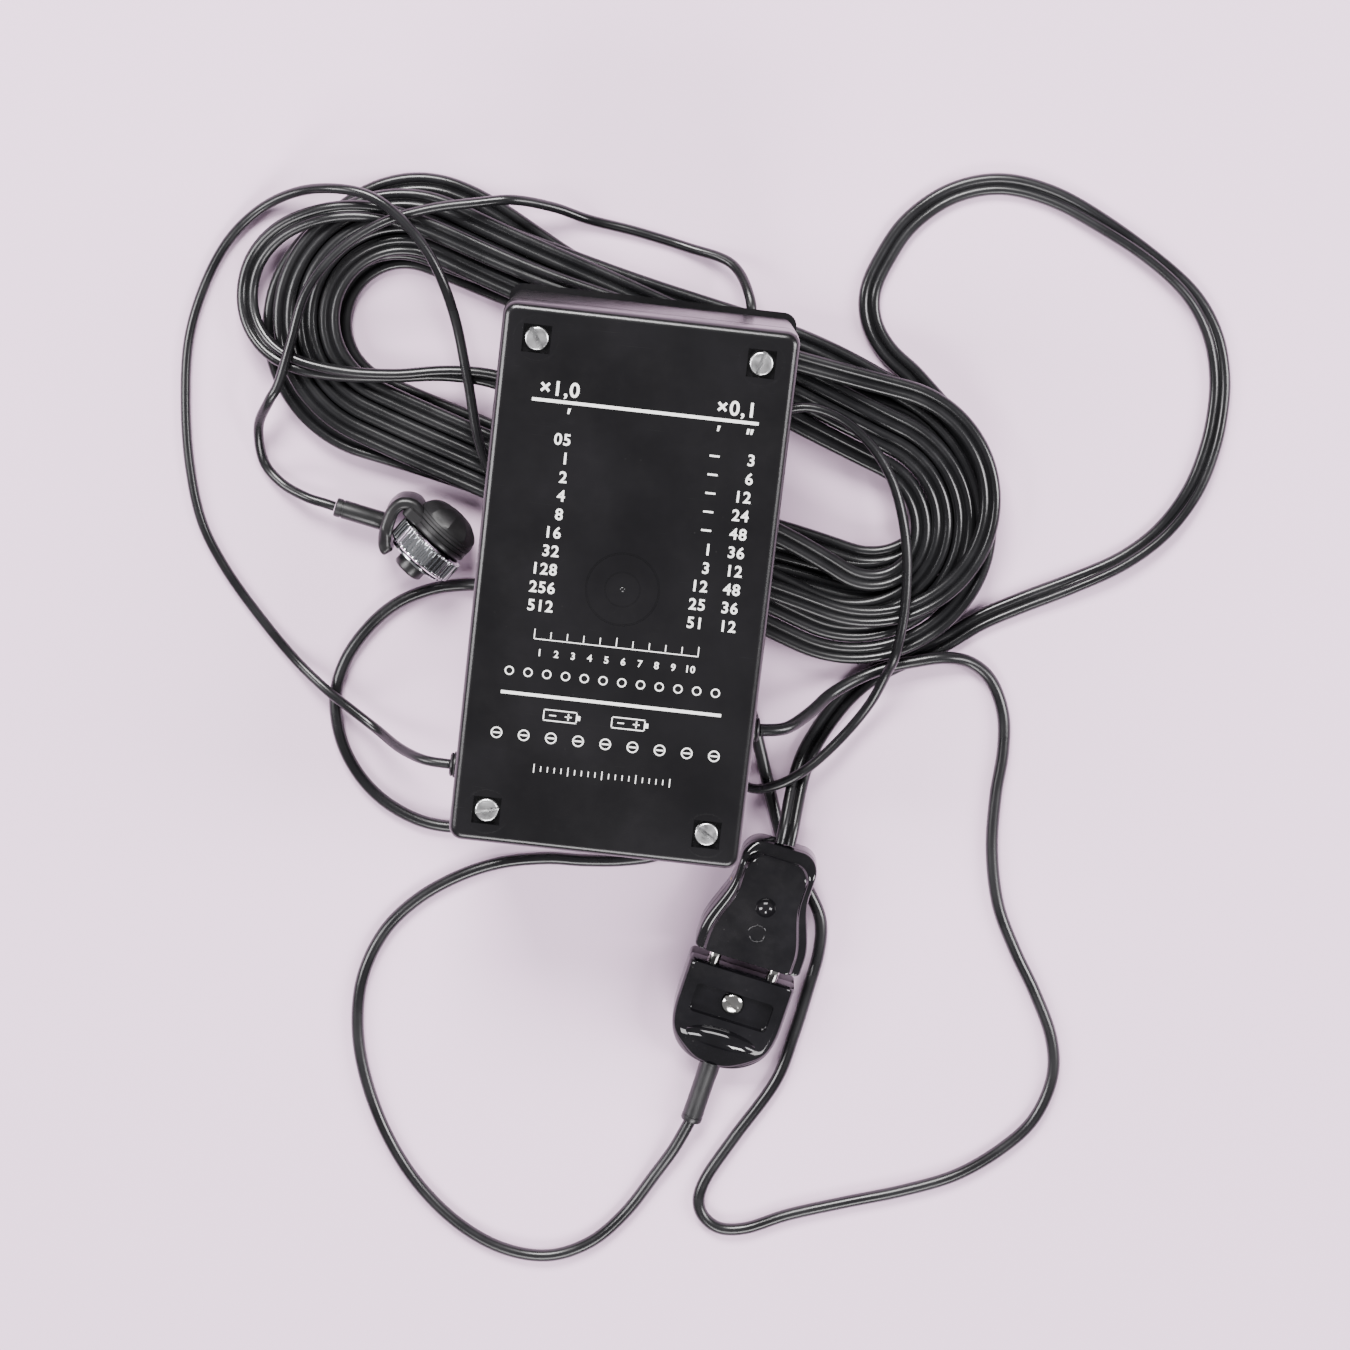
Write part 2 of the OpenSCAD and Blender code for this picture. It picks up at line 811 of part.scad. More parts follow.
module head_cap() {
  color("#151516")
    at_head()
      rotate([0, 90, 0])
        rotate_extrude()
          polygon([
            [0, ring_w / 2 + 3.8], [10.3, ring_w / 2 + 3.8], [10.3, ring_w / 2 + 5.2],
            [9.6, ring_w / 2 + 6.6], [8.6, ring_w / 2 + 8.2], [7, ring_w / 2 + 9.8],
            [4.4, ring_w / 2 + 10.9], [0, ring_w / 2 + 11.3]
          ]);
}

module lock_ring() {
  color("#dfe2e6")
    at_head()
      difference() {
        along_axis(-ring_w / 2, ring_d, ring_w);
        along_axis(-ring_w, 7.1, 2 * ring_w);
        for (i = [0 : knurls - 1])
          rotate([360 * i / knurls, 0, 0])
            translate([-ring_w / 2 + 0.7, ring_d / 2 + 0.15, 0])
              rotate([45, 0, 0])
                translate([0, -0.4, -0.4])
                  cube([ring_w - 1.4, 0.8, 0.8]);
      }
}

module ring_washer() {
  color("#d2d5d9")
    at_head()
      difference() {
        along_axis(-ring_w / 2 - 0.6 - 0.7, 18.5, 0.9);
        along_axis(-ring_w, 7, ring_w);
      }
}

module head_insert() {
  color("#161617")
    at_head()
      difference() {
        union() {
          along_axis(-ring_w / 2 - 1.4 - 4, 9.6, 4);
          along_axis(-ring_w / 2 - 2, 6.9, 1.2);
        }
        for (s = [-2.2, 2.2])
          translate([0, s, 0])
            along_axis(-ring_w / 2 - 6, 1.6, 3.5);
      }
}

module head_contacts() {
  color("#c9a94e")
    at_head()
      for (s = [-2.2, 2.2])
        translate([0, s, 0])
          along_axis(-ring_w / 2 - 5.2, 1.5, 2.6);
}

// ---- plug, coupling and their cord ----

module plug_cord() {
  color("#19191b")
    cord_tube(plug_route, 1, plug_cord_d, plug_cord_d);
}

module plug_sleeve() {
  color("#141415")
    at_pair()
      translate([0, -plug_l + 1, pin_z])
        rotate([90, 0, 0])
          cylinder(d = sleeve_d, h = sleeve_l + 1);
}

// Plan of the plug: straight across its face, round at the cable end
module plug_outline(inset = 0) {
  r = plug_w / 2 - inset;
  union() {
    translate([-r, -plug_l + plug_w / 2 - 2, 0])
      square([2 * r, plug_l - plug_w / 2 + 2 - inset]);
    intersection() {
      translate([0, -plug_l + plug_w / 2 + 4])
        circle(r = r + 4);
      translate([-r, -plug_l + inset])
        square([2 * r, plug_w / 2 + 1]);
    }
  }
}

module plug_base() {
  color("#121213")
    at_pair()
      difference() {
        union() {
          linear_extrude(height = 1.2)
            plug_outline(0.6);
          translate([0, 0, 1.2 - eps])
            linear_extrude(height = part_z - 1.2)
              plug_outline();
        }
        translate([0, 0, 2])
          linear_extrude(height = plug_t)
            plug_outline(2.2);
        for (s = [-1, 1])
          translate([s * pin_pitch / 2, 1, pin_z])
            rotate([90, 0, 0])
              cylinder(d = pin_d + 0.05, h = 8);
        translate([0, -plug_l + 6, pin_z])
          rotate([90, 0, 0])
            cylinder(d = sleeve_d + 0.05, h = 10);
      }
}

module plug_cover() {
  color("#0f0f10")
    at_pair()
      difference() {
        union() {
          translate([0, 0, part_z + eps])
            linear_extrude(height = plug_t - part_z - 1.8)
              plug_outline();
          translate([0, 0, plug_t - 1.8])
            linear_extrude(height = 1)
              plug_outline(0.5);
          translate([0, 0, plug_t - 0.8 - eps])
            linear_extrude(height = 0.8 + eps)
              plug_outline(1.4);
        }
        translate([0, 0, part_z - 1])
          linear_extrude(height = plug_t - part_z - 1)
            plug_outline(2.2);
        translate([-recess_w / 2, plug_screw_y - 0.8 - recess_l / 2, plug_t - 1])
          cube([recess_w, recess_l, 3]);
        translate([0, plug_screw_y, -1])
          cylinder(d = 3.4, h = plug_t + 2);
        for (s = [-1, 1])
          translate([s * pin_pitch / 2, 1, pin_z])
            rotate([90, 0, 0])
              cylinder(d = pin_d + 0.05, h = 8);
        translate([0, -plug_l + 6, pin_z])
          rotate([90, 0, 0])
            cylinder(d = sleeve_d + 0.05, h = 10);
      }
}

module plug_screw() {
  color("#cfc9c0")
    at_pair()
      translate([0, plug_screw_y, plug_t - 1])
        slotted_screw(6.5, 1.6, 3, 9, 149);
}

module plug_nut() {
  color("#c9ccd0")
    at_pair()
      translate([0, plug_screw_y, 2.05])
        difference() {
          translate([-3, -3, 0])
            cube([6, 6, 2.4]);
          translate([0, 0, -1])
            cylinder(d = 3.02, h = 5);
        }
}

// A split pin: round, its tip slit by a saw cut
module split_pin(l) {
  rotate([-90, 0, 0])
    difference() {
      cylinder(d = pin_d, h = l);
      translate([-0.3, -pin_d, l - 14])
        cube([0.6, 2 * pin_d, 15]);
    }
}

module plug_pins() {
  color("#cfd2d6")
    at_pair()
      for (s = [-1, 1])
        translate([s * pin_pitch / 2, -6, pin_z])
          split_pin(6 + 19);
}

// Plan of the coupling: wide at the plug, waisted, narrow at the cable end
module coupling_outline(inset = 0) {
  w = plug_w / 2 - inset;
  r = coupling_rear_w / 2 - inset;
  y0 = pair_gap + inset;
  y1 = pair_gap + coupling_l - inset;
  union() {
    polygon([
      [-w, y0], [w, y0], [w, y0 + 8], [w - 0.7, y0 + 11], [w - 2.2, y0 + 15], [w - 3.6, y0 + 20],
      [r + 0.4, y0 + 25], [r, y1 - 5], [-r, y1 - 5], [-r - 0.4, y0 + 25],
      [-w + 3.6, y0 + 20], [-w + 2.2, y0 + 15], [-w + 0.7, y0 + 11], [-w, y0 + 8]
    ]);
    translate([-r + 5, y1 - 6])
      square([2 * r - 10, 6]);
    for (s = [-1, 1])
      translate([s * (r - 5), y1 - 5])
        circle(r = 5);
  }
}

module coupling_bores() {
  for (s = [-1, 1])
    translate([s * pin_pitch / 2, pair_gap + 23, pin_z])
      rotate([90, 0, 0])
        cylinder(d = 6.05, h = 30);
  translate([0, pair_gap + 20, -1])
    cylinder(d = 3.4, h = plug_t + 2);
}

module coupling_base() {
  color("#121213")
    at_pair()
      difference() {
        union() {
          linear_extrude(height = 1.2)
            coupling_outline(0.6);
          translate([0, 0, 1.2 - eps])
            linear_extrude(height = part_z - 1.2)
              coupling_outline();
        }
        coupling_bores();
        translate([0, pair_gap + coupling_l + 1, pin_z])
          rotate([90, 0, 0])
            cylinder(d = 4.4, h = 8);
      }
}

module coupling_cover() {
  color("#0f0f10")
    at_pair()
      difference() {
        union() {
          translate([0, 0, part_z + eps])
            linear_extrude(height = plug_t - part_z - 2)
              coupling_outline();
          translate([0, 0, plug_t - 2 + 0.02])
            linear_extrude(height = 1)
              coupling_outline(0.7);
          translate([0, 0, plug_t - 1 - eps])
            linear_extrude(height = 1)
              coupling_outline(2);
        }
        coupling_bores();
        translate([0, pair_gap + bowl_y, plug_t - 2])
          cylinder(d = 6, h = 4);
        translate([0, pair_gap + coupling_l + 1, pin_z])
          rotate([90, 0, 0])
            cylinder(d = 4.4, h = 8);
      }
}

module coupling_screw() {
  color("#c9ccd0")
    at_pair()
      translate([0, pair_gap + 20, 1.2])
        rotate([180, 0, 0])
          slotted_screw(3.3, 1, 2.9, 9, 20);
}

module coupling_sockets() {
  color("#c2a24c")
    at_pair()
      for (s = [-1, 1])
        translate([s * pin_pitch / 2, pair_gap + 23, pin_z])
          rotate([90, 0, 0])
            difference() {
              cylinder(d = 6, h = 21);
              translate([0, 0, 2])
                cylinder(d = pin_d + 0.1, h = 22);
            }
}

// ---- twin lead ----

module twin_lead() {
  color("#19191b")
    cord_tube(twin_route, 1, twin_w, twin_t);
}

// An oblong with round ends between two centres
module oblong(a, b, r) {
  d = b - a;
  turn = atan2(d[1], d[0]);
  translate(a)
    rotate([0, 0, turn])
      union() {
        circle(r = r, $fn = 96);
        translate([norm(d), 0])
          circle(r = r, $fn = 96);
        translate([0, -r])
          square([norm(d), 2 * r]);
      }
}

module twin_hank() {
  color("#1d1d1f")
    linear_extrude(height = hank_h)
      oblong(hank_a, hank_b, hank_r);
}

module twin_tail() {
  color("#19191b")
    cord_tube(tail_route, 2, twin_w, twin_t);
}

// ---- jack plug ----

module jack_turned(y) {
  translate([jack_at[0], jack_at[1] - y, jack_at[2]])
    rotate([90, 0, 0])
      children();
}

module jack_boot() {
  color("#141415")
    jack_turned(0)
      cylinder(d1 = 7, d2 = 8.4, h = jack_boot_l);
}

module jack_barrel() {
  color("#161617")
    jack_turned(jack_boot_l + 0.02)
      rotate_extrude()
        polygon([
          [0, 0], [4.6, 0], [5, 0.6], [5, jack_barrel_l - 1.5],
          [4, jack_barrel_l], [0, jack_barrel_l]
        ]);
}

module jack_tip() {
  r = jack_tip_d / 2;
  color("#cfd2d6")
    jack_turned(jack_boot_l + jack_barrel_l + 0.04)
      rotate_extrude()
        polygon([
          [0, 0], [r, 0], [r, jack_tip_l - 3.6], [r - 0.45, jack_tip_l - 3],
          [r - 0.1, jack_tip_l - 1.9], [0, jack_tip_l]
        ]);
}

case_body();
base_cover();
base_screws();
case_inserts();
control_panel();
selector_knob();
knob_cap();
knob_bush();
selector_shaft();
selector_bushing();
selector_nut();
selector_housing();
selector_rotor();
range_slider();
power_slider();
switch_housings();
start_button();
button_bushing();
button_spring();
led_lens();
led_bezel();
circuit_board();
board_screws();
relay();
timer_chip();
capacitors();
resistors();
trimmer();
battery();
battery_snap();
battery_pad();
release_grommet();
plug_grommet();
release_cord();
release_sleeve();
head_body();
head_cap();
head_insert();
head_contacts();
lock_ring();
ring_washer();
plug_cord();
plug_sleeve();
plug_cover();
plug_base();
plug_screw();
plug_nut();
plug_pins();
coupling_cover();
coupling_base();
coupling_sockets();
coupling_screw();
twin_lead();
twin_hank();
twin_tail();
jack_boot();
jack_barrel();
jack_tip();
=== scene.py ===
import math

import bmesh
import bpy
import numpy as np
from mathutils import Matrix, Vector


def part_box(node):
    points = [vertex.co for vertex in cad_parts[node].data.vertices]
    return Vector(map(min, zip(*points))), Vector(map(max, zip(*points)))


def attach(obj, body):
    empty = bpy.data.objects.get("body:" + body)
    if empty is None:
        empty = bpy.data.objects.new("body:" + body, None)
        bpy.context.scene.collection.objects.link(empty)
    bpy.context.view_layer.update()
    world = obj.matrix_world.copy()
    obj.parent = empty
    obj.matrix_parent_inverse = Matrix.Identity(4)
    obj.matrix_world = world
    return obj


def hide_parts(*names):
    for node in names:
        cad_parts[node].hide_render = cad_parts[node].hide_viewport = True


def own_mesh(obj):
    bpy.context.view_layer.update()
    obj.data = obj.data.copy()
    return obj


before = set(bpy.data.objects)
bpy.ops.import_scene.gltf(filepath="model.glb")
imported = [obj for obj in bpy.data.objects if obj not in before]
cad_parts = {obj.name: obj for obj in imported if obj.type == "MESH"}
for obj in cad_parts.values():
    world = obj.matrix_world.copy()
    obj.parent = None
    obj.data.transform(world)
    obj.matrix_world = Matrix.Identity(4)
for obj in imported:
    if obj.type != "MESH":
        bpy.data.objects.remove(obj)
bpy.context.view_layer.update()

bl_info = {
    "name": "Interval Timer Builder",
    "version": (1, 0, 0),
    "blender": (4, 5, 0),
    "location": "3D View > Sidebar > Timer",
    "description": "Builds a battery interval timer with its release cord, two-pin plug and twin lead",
    "category": "Add Mesh",
}

MM = 0.001
SHARP = 32.0  # edges bent by more degrees than this are drawn sharp
FLOOR_HALF = 3.0  # half the floor's side, in metres
CAMERA_LENS = 115.87
CAMERA_AT = (-0.00385, 0.22615, 1.31305)
CAMERA_TURN = (-0.19899, 0.00497, 0.11186)
# Sizes in millimetres: the moulded wall, the screw pockets' side and depth, the print's height, the knob's place
WALL = 2.5
POCKET_W = 8.2
POCKET_DEPTH = 2.4
PRINT_LIFT = 0.005
KNOB_Y = -45


def node_box(name):
    """A node's lowest and highest corner in millimetres."""
    low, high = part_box(name)
    return np.array(low) / MM, np.array(high) / MM


# Levels and places taken from the frame, in millimetres
COVER_LOW, COVER_HIGH = node_box("base_cover")
CASE_TOP = COVER_HIGH[2]
SPLIT_Z = COVER_LOW[2]
CASE_Z = node_box("case_body")[0][2]
CASE_W = COVER_HIGH[0] - COVER_LOW[0]
CASE_L = COVER_HIGH[1] - COVER_LOW[1]
KNOB_LOW, KNOB_HIGH = node_box("selector_knob")

# Places of the plug pair and of the release head, as in the part's source
PLUG_L = 33.5
PIN_Z = 7.0
SCREW_Y = -10.6
PAIR_AT = np.array([50.5, -124.5, 0.0])
PAIR_TURN = math.radians(-11.3)
PAIR_SLOPE = math.radians(5.0)
HEAD_AT = np.array([-60.5, -5.0, 11.4])
HEAD_TURN = math.radians(54.0)
SLEEVE_AT = np.array([-73.2, 1.1, 8.0])
SLEEVE_TURN = math.radians(169.3)
JACK_AT = np.array([-31.0, -34.0, 5.2])
HANK_A = np.array([-74.0, 62.0])
HANK_B = np.array([70.0, 22.0])
HANK_R = 44.0
SCREW_DX = 65.0
SCREW_DY = 140.0

# Routes of the cords, in millimetres: listed points, kept in step with the part's source. The twin lead's two
# stretches stop short of the hank, where the routes after them take over
RELEASE_ROUTE = [
    (-46, -67, 28.5), (-54, -67, 26.5), (-62, -66, 18.5), (-70, -63, 9.5), (-79, -58, 6.6), (-87, -53, 5.9),
    (-98, -45, 2.4), (-111, -32, 1.6), (-122, -19, 1.6), (-130, -6, 1.6), (-135, 10, 1.6), (-138, 28, 1.6),
    (-139, 48, 1.6), (-136, 65, 1.6), (-130, 80, 1.7), (-121, 91, 3), (-110, 98, 8), (-98, 101, 15.6),
    (-87, 100, 18.2), (-77, 94, 18.8), (-67, 83, 17.6), (-59, 67, 15.4), (-53, 48, 15.2), (-47, 28, 15.2),
    (-38, 15, 15.2), (-23, 12, 15.2), (-4, 18, 15.2), (15, 30, 15.2), (32, 43, 15.2), (46, 51, 15.2),
    (58, 50, 15.2), (69, 43, 15.2), (77, 33, 15.2), (82, 21, 15.2), (85, 8, 15.2), (86, -7, 15.4),
    (85, -20.5, 15.6), (83, -28, 12), (80, -37, 8.5), (75, -46, 6.9), (68, -55, 8.1), (61, -62, 9.1),
    (54, -67, 7.9), (46, -69.5, 4.6), (38, -65, 1.8), (33, -54, 1.6), (30, -39, 4.2), (28, -27, 6.9),
    (27, -19, 12.6), (26.5, -12, 15.8), (25, 4, 17.4), (24, 22, 18.6), (24, 38, 18.6), (26, 56, 17),
    (29, 73, 15.8), (28.5, 82, 15), (22, 91, 7), (8, 94, 2), (-8, 97, 1.8), (-22, 99, 2.8), (-33, 102, 8),
    (-45, 103.5, 14.8), (-56, 101.5, 15.6), (-70, 98, 15.3), (-84, 92, 15.3), (-96, 82, 15.3), (-104, 69, 15.3),
    (-107, 54, 15.3), (-109.5, 41, 15.4), (-112, 35, 14), (-115, 26, 6.5), (-113, 15, 1.9), (-107, 9, 3.2),
    (-99, 6, 6.6), (-92.5, 4.8, 7.9), (-89.6, 4.2, 8),
]
PLUG_ROUTE = [
    (46, -46, 28.5), (54, -45, 26), (61, -41, 18.5), (67, -36, 11.5), (75, -31, 7.4), (83, -27, 6),
    (92, -24, 5.8), (101, -22, 5), (109, -23, 2.8), (116, -28, 2), (121, -38, 2), (122.5, -50, 2),
    (122, -64, 2), (123, -81, 2), (127, -98, 2), (134, -112, 2), (142, -125, 2), (149, -139, 2), (151, -152, 2),
    (147, -166, 2), (138, -177, 2), (125, -187, 2), (109, -194, 2), (91, -200, 2), (74, -206, 2), (61, -212, 2),
    (52, -212.5, 2), (46, -207, 2), (46.5, -198, 2), (54, -183, 2), (65, -163, 2), (69, -147, 2),
    (71.5, -133, 2), (73.5, -120, 2), (73, -110, 2), (69, -102, 2), (63, -94, 2), (58, -85, 2), (53, -72, 2),
    (48, -58, 2), (43, -45, 2), (34, -33, 2), (20, -25, 2), (4, -21, 2), (-12, -18, 2.2), (-21, -16.5, 4.6),
    (-30, -16, 5.8), (-39, -15.5, 4.6), (-48, -16.5, 2.2), (-58, -19, 2), (-68, -24.5, 2), (-76, -33, 2),
    (-82, -44, 2), (-84, -56, 2), (-81, -69, 2), (-74, -80, 2), (-64, -88, 2), (-51, -92.5, 2), (-37, -91.5, 2),
    (-22, -84, 2), (-8, -75, 2), (6, -72, 2), (18, -73, 2), (26.5, -79, 2), (27.5, -87, 2), (21, -94, 2),
    (10, -97.3, 2), (-2, -98.8, 2), (-14, -99.5, 2), (-28, -102.5, 2), (-41, -108.5, 2), (-53, -117.5, 2),
    (-62, -129, 2), (-67, -144, 2), (-67, -160, 2), (-63, -176, 2), (-55, -193, 2), (-44, -208, 2),
    (-30, -220, 2), (-15, -227, 2), (0, -228, 2), (13, -222, 2), (23, -211, 2), (31, -197, 2.6),
    (35.9, -187.5, 4), (39.9, -177.3, 5.2),
]
TWIN_ROUTE = [
    (58.6, -84, 13.5), (59.1, -79.2, 12.6), (59.6, -73.8, 9.9), (60.2, -68.2, 6.5), (61.1, -62.6, 3.6),
    (62.7, -56.6, 1.95), (67, -47, 1.75),
    (72.5, -38, 1.75), (79.5, -30.5, 1.75), (88.5, -24.5, 1.75), (99, -18.5, 1.75), (110, -10, 1.75),
    (122, -3, 1.75), (137, 5, 1.75), (151, 13.5, 1.75), (162, 24, 1.75), (169.5, 37, 1.75), (173, 50, 1.75),
    (174, 62, 1.75), (173, 74, 1.75), (169, 86, 1.75), (161, 97, 1.75), (148, 106.5, 1.75), (132, 115, 1.75),
    (116, 121.5, 1.75), (100, 123.5, 1.75), (85.5, 119, 1.75), (74, 109, 1.75),
]
TAIL_ROUTE = [
    (-30, -17, 1.75), (-30.6, -26, 2.8), (-31, -33.9, 5.2),
]

# Where the lead's loop turns into the hank's outermost lane, and where the last turn leaves for the jack
JOIN_ROUTE = [
    (67.8, 97.5, 1.75), (64.6, 87.0, 1.75), (66.2, 77.5, 1.75), (72.0, 69.4, 1.75), (80.0, 63.6, 1.75),
]
LEAVE_ROUTE = [(-23.5, 1.0, 10.6), (-28.4, -5.5, 8.0), (-30.0, -13.0, 4.2)]
# A slack turn that strays out of the hank's left end and comes back on top of it
STRAY_ROUTE = [
    (0, 24.5, 11.7), (-17, 35, 11.8), (-31, 44.2, 11.8), (-45, 49, 11.8), (-60, 49.2, 11.8), (-75, 46.8, 11.8),
    (-91, 45.6, 11.8), (-105, 46.8, 11.6), (-114.5, 51, 9.8), (-120.5, 58.5, 7.2), (-122.3, 68, 5.8),
    (-119.8, 78, 6.6), (-112.3, 87, 9.2), (-100, 93.2, 11.5), (-86, 95, 11.8), (-70, 92.2, 11.8),
]
# The hank: its lanes' pitch and number, the outermost lane's inset, the layers' heights, where its last turn starts
LANE_PITCH = 6.85
LANES = 3.2
LANE_INSET = 3.9
FIRST_LAYER_Z = 1.75
LAYER_STEP = 3.32
LAST_TURN = 10.08


# ---------------------------------------------------------------- settings

def measure(label, note, default, low, high):
    """A number that the settings panel can change."""
    return bpy.props.FloatProperty(name=label, description=note, default=default, min=low, max=high)


def tone(label, note, default):
    """A colour that the settings panel can change."""
    return bpy.props.FloatVectorProperty(
        name=label, description=note, subtype="COLOR", default=default, min=0, max=1)


class CaseSettings(bpy.types.PropertyGroup):
    fillet: measure("Rim fillet", "Radius along the base face's rim, in mm", 2.5, 0.5, 4)
    corner: measure("Corner radius", "Radius of the upright corners, in mm", 4.0, 2, 8)
    colour: tone("Case colour", "Colour of the moulded case", (0.0045, 0.0042, 0.005))
    print_colour: tone("Print colour", "Colour of the printed table", (0.80, 0.80, 0.78))


class CordSettings(bpy.types.PropertyGroup):
    release_d: measure("Release cord", "Diameter of the release cord, in mm", 3.1, 2, 5)
    plug_d: measure("Plug cord", "Diameter of the plug's cord, in mm", 3.9, 2, 6)
    twin_w: measure("Twin lead width", "Width over both cores, in mm", 6.6, 4, 9)
    twin_t: measure("Twin lead thickness", "Thickness of one core, in mm", 3.3, 2, 5)
    turns: measure("Hank turns", "Turns at which the hank ends", 10.657, 10.4, 10.7)
    colour: tone("Cord colour", "Colour of the cords", (0.0085, 0.0085, 0.0095))


class PlugSettings(bpy.types.PropertyGroup):
    width: measure("Plug width", "Width of the plug across its face, in mm", 34.0, 30, 36)
    thickness: measure("Plug thickness", "Thickness of the plug and coupling, in mm", 14.0, 12, 16)
    gap: measure("Pin gap", "Gap between plug and coupling, in mm", 3.8, 0, 8)
    pitch: measure("Pin pitch", "Distance between the pins, in mm", 19.0, 18, 19)
    colour: tone("Plug colour", "Colour of the polished mouldings", (0.0065, 0.0062, 0.0075))


class HeadSettings(bpy.types.PropertyGroup):
    ring_d: measure("Ring diameter", "Diameter of the knurled ring, in mm", 22.4, 18, 24)
    ring_w: measure("Ring width", "Width of the knurled ring, in mm", 7.5, 5, 9)
    knurls: bpy.props.IntProperty(
        name="Knurls", description="Number of knurls round the ring", default=46, min=30, max=90)
    colour: tone("Head colour", "Colour of the head's moulding", (0.0085, 0.0082, 0.009))


class StageSettings(bpy.types.PropertyGroup):
    floor_colour: tone("Floor colour", "Colour of the plain floor", (0.830, 0.610, 0.800))
    key_power: measure("Key light", "Power of the large soft light, in watts", 72.0, 0, 200)
    fill_strength: measure("Sky strength", "Strength of the even light from all round", 0.22, 0, 3)


# ---------------------------------------------------------------- shader groups

def new_group(name, inputs, outputs):
    """An empty shader node group with named value, colour and vector sockets."""
    tree = bpy.data.node_groups.new(name, "ShaderNodeTree")
    for socket_name, kind, default in inputs:
        socket = tree.interface.new_socket(socket_name, in_out="INPUT", socket_type=kind)
        socket.default_value = default
    for socket_name, kind in outputs:
        tree.interface.new_socket(socket_name, in_out="OUTPUT", socket_type=kind)
    return tree, tree.nodes.new("NodeGroupInput"), tree.nodes.new("NodeGroupOutput")


def math_node(tree, operation, a, b=None, clamp=False):
    """A Math node fed by sockets or plain numbers; returns its output."""
    node = tree.nodes.new("ShaderNodeMath")
    node.operation = operation
    node.use_clamp = clamp
    for index, value in enumerate((a, b)):
        if value is None:
            continue
        if isinstance(value, (int, float)):
            node.inputs[index].default_value = value
        else:
            tree.links.new(value, node.inputs[index])
    return node.outputs[0]


def range_node(tree, value, low, high, to_low=0.0, to_high=1.0):
    """A clamped smooth Map Range; returns its output."""
    node = tree.nodes.new("ShaderNodeMapRange")
    node.interpolation_type = "SMOOTHSTEP"
    for index, number in ((1, low), (2, high), (3, to_low), (4, to_high)):
        node.inputs[index].default_value = number
    tree.links.new(value, node.inputs[0])
    return node.outputs[0]


def noise_node(tree, vector, scale, detail=3.0, roughness=0.55):
    """A noise texture on a vector; scale may be a socket. Returns its Fac output."""
    node = tree.nodes.new("ShaderNodeTexNoise")
    tree.links.new(vector, node.inputs["Vector"])
    if isinstance(scale, (int, float)):
        node.inputs["Scale"].default_value = scale
    else:
        tree.links.new(scale, node.inputs["Scale"])
    node.inputs["Detail"].default_value = detail
    node.inputs["Roughness"].default_value = roughness
    return node.outputs["Fac"]


def grain_group():
    """Two sizes of noise: a fine grain for the bump, and slow blotches for colour and gloss."""
    tree, source, sink = new_group(
        "Moulding Grain",
        [("Grain Scale", "NodeSocketFloat", 2500.0), ("Blotch Scale", "NodeSocketFloat", 60.0)],
        [("Height", "NodeSocketFloat"), ("Blotch", "NodeSocketFloat")])
    place = tree.nodes.new("ShaderNodeTexCoord").outputs["Object"]
    fine = noise_node(tree, place, source.outputs["Grain Scale"], 2.0)
    slow = noise_node(tree, place, source.outputs["Blotch Scale"], 4.0)
    tree.links.new(math_node(tree, "ADD", fine, math_node(tree, "MULTIPLY", slow, 0.4)), sink.inputs["Height"])
    tree.links.new(slow, sink.inputs["Blotch"])
    return tree


def wear_group():
    """A mask of polished or rubbed edges: convex places broken up by noise."""
    tree, source, sink = new_group(
        "Edge Wear", [("Amount", "NodeSocketFloat", 0.5)], [("Mask", "NodeSocketFloat")])
    place = tree.nodes.new("ShaderNodeTexCoord").outputs["Object"]
    sharp = tree.nodes.new("ShaderNodeNewGeometry").outputs["Pointiness"]
    edge = range_node(tree, sharp, 0.52, 0.62)
    patchy = range_node(tree, noise_node(tree, place, 420.0, 5.0, 0.65), 0.38, 0.66)
    mask = math_node(tree, "MULTIPLY", math_node(tree, "MULTIPLY", edge, patchy), source.outputs["Amount"], True)
    tree.links.new(mask, sink.inputs["Mask"])
    return tree


def dust_group():
    """Fine specks and lint settled on faces that look up."""
    tree, source, sink = new_group(
        "Settled Dust", [("Amount", "NodeSocketFloat", 0.3)], [("Mask", "NodeSocketFloat")])
    place = tree.nodes.new("ShaderNodeTexCoord").outputs["Object"]
    split = tree.nodes.new("ShaderNodeSeparateXYZ")
    tree.links.new(tree.nodes.new("ShaderNodeNewGeometry").outputs["Normal"], split.inputs[0])
    upward = range_node(tree, split.outputs["Z"], 0.2, 0.95)
    speck = tree.nodes.new("ShaderNodeTexVoronoi")
    speck.inputs["Scale"].default_value = 420.0
    speck.inputs["Randomness"].default_value = 1.0
    tree.links.new(place, speck.inputs["Vector"])
    dots = range_node(tree, speck.outputs["Distance"], 0.13, 0.06)
    sparse = range_node(tree, noise_node(tree, place, 90.0, 3.0), 0.55, 0.75)
    film = range_node(tree, noise_node(tree, place, 25.0, 5.0, 0.7), 0.42, 0.85, 0.0, 0.35)
    specks = math_node(tree, "MULTIPLY", dots, sparse)
    mask = math_node(tree, "MULTIPLY", math_node(tree, "ADD", specks, film), upward)
    tree.links.new(math_node(tree, "MULTIPLY", mask, source.outputs["Amount"], True), sink.inputs["Mask"])
    return tree


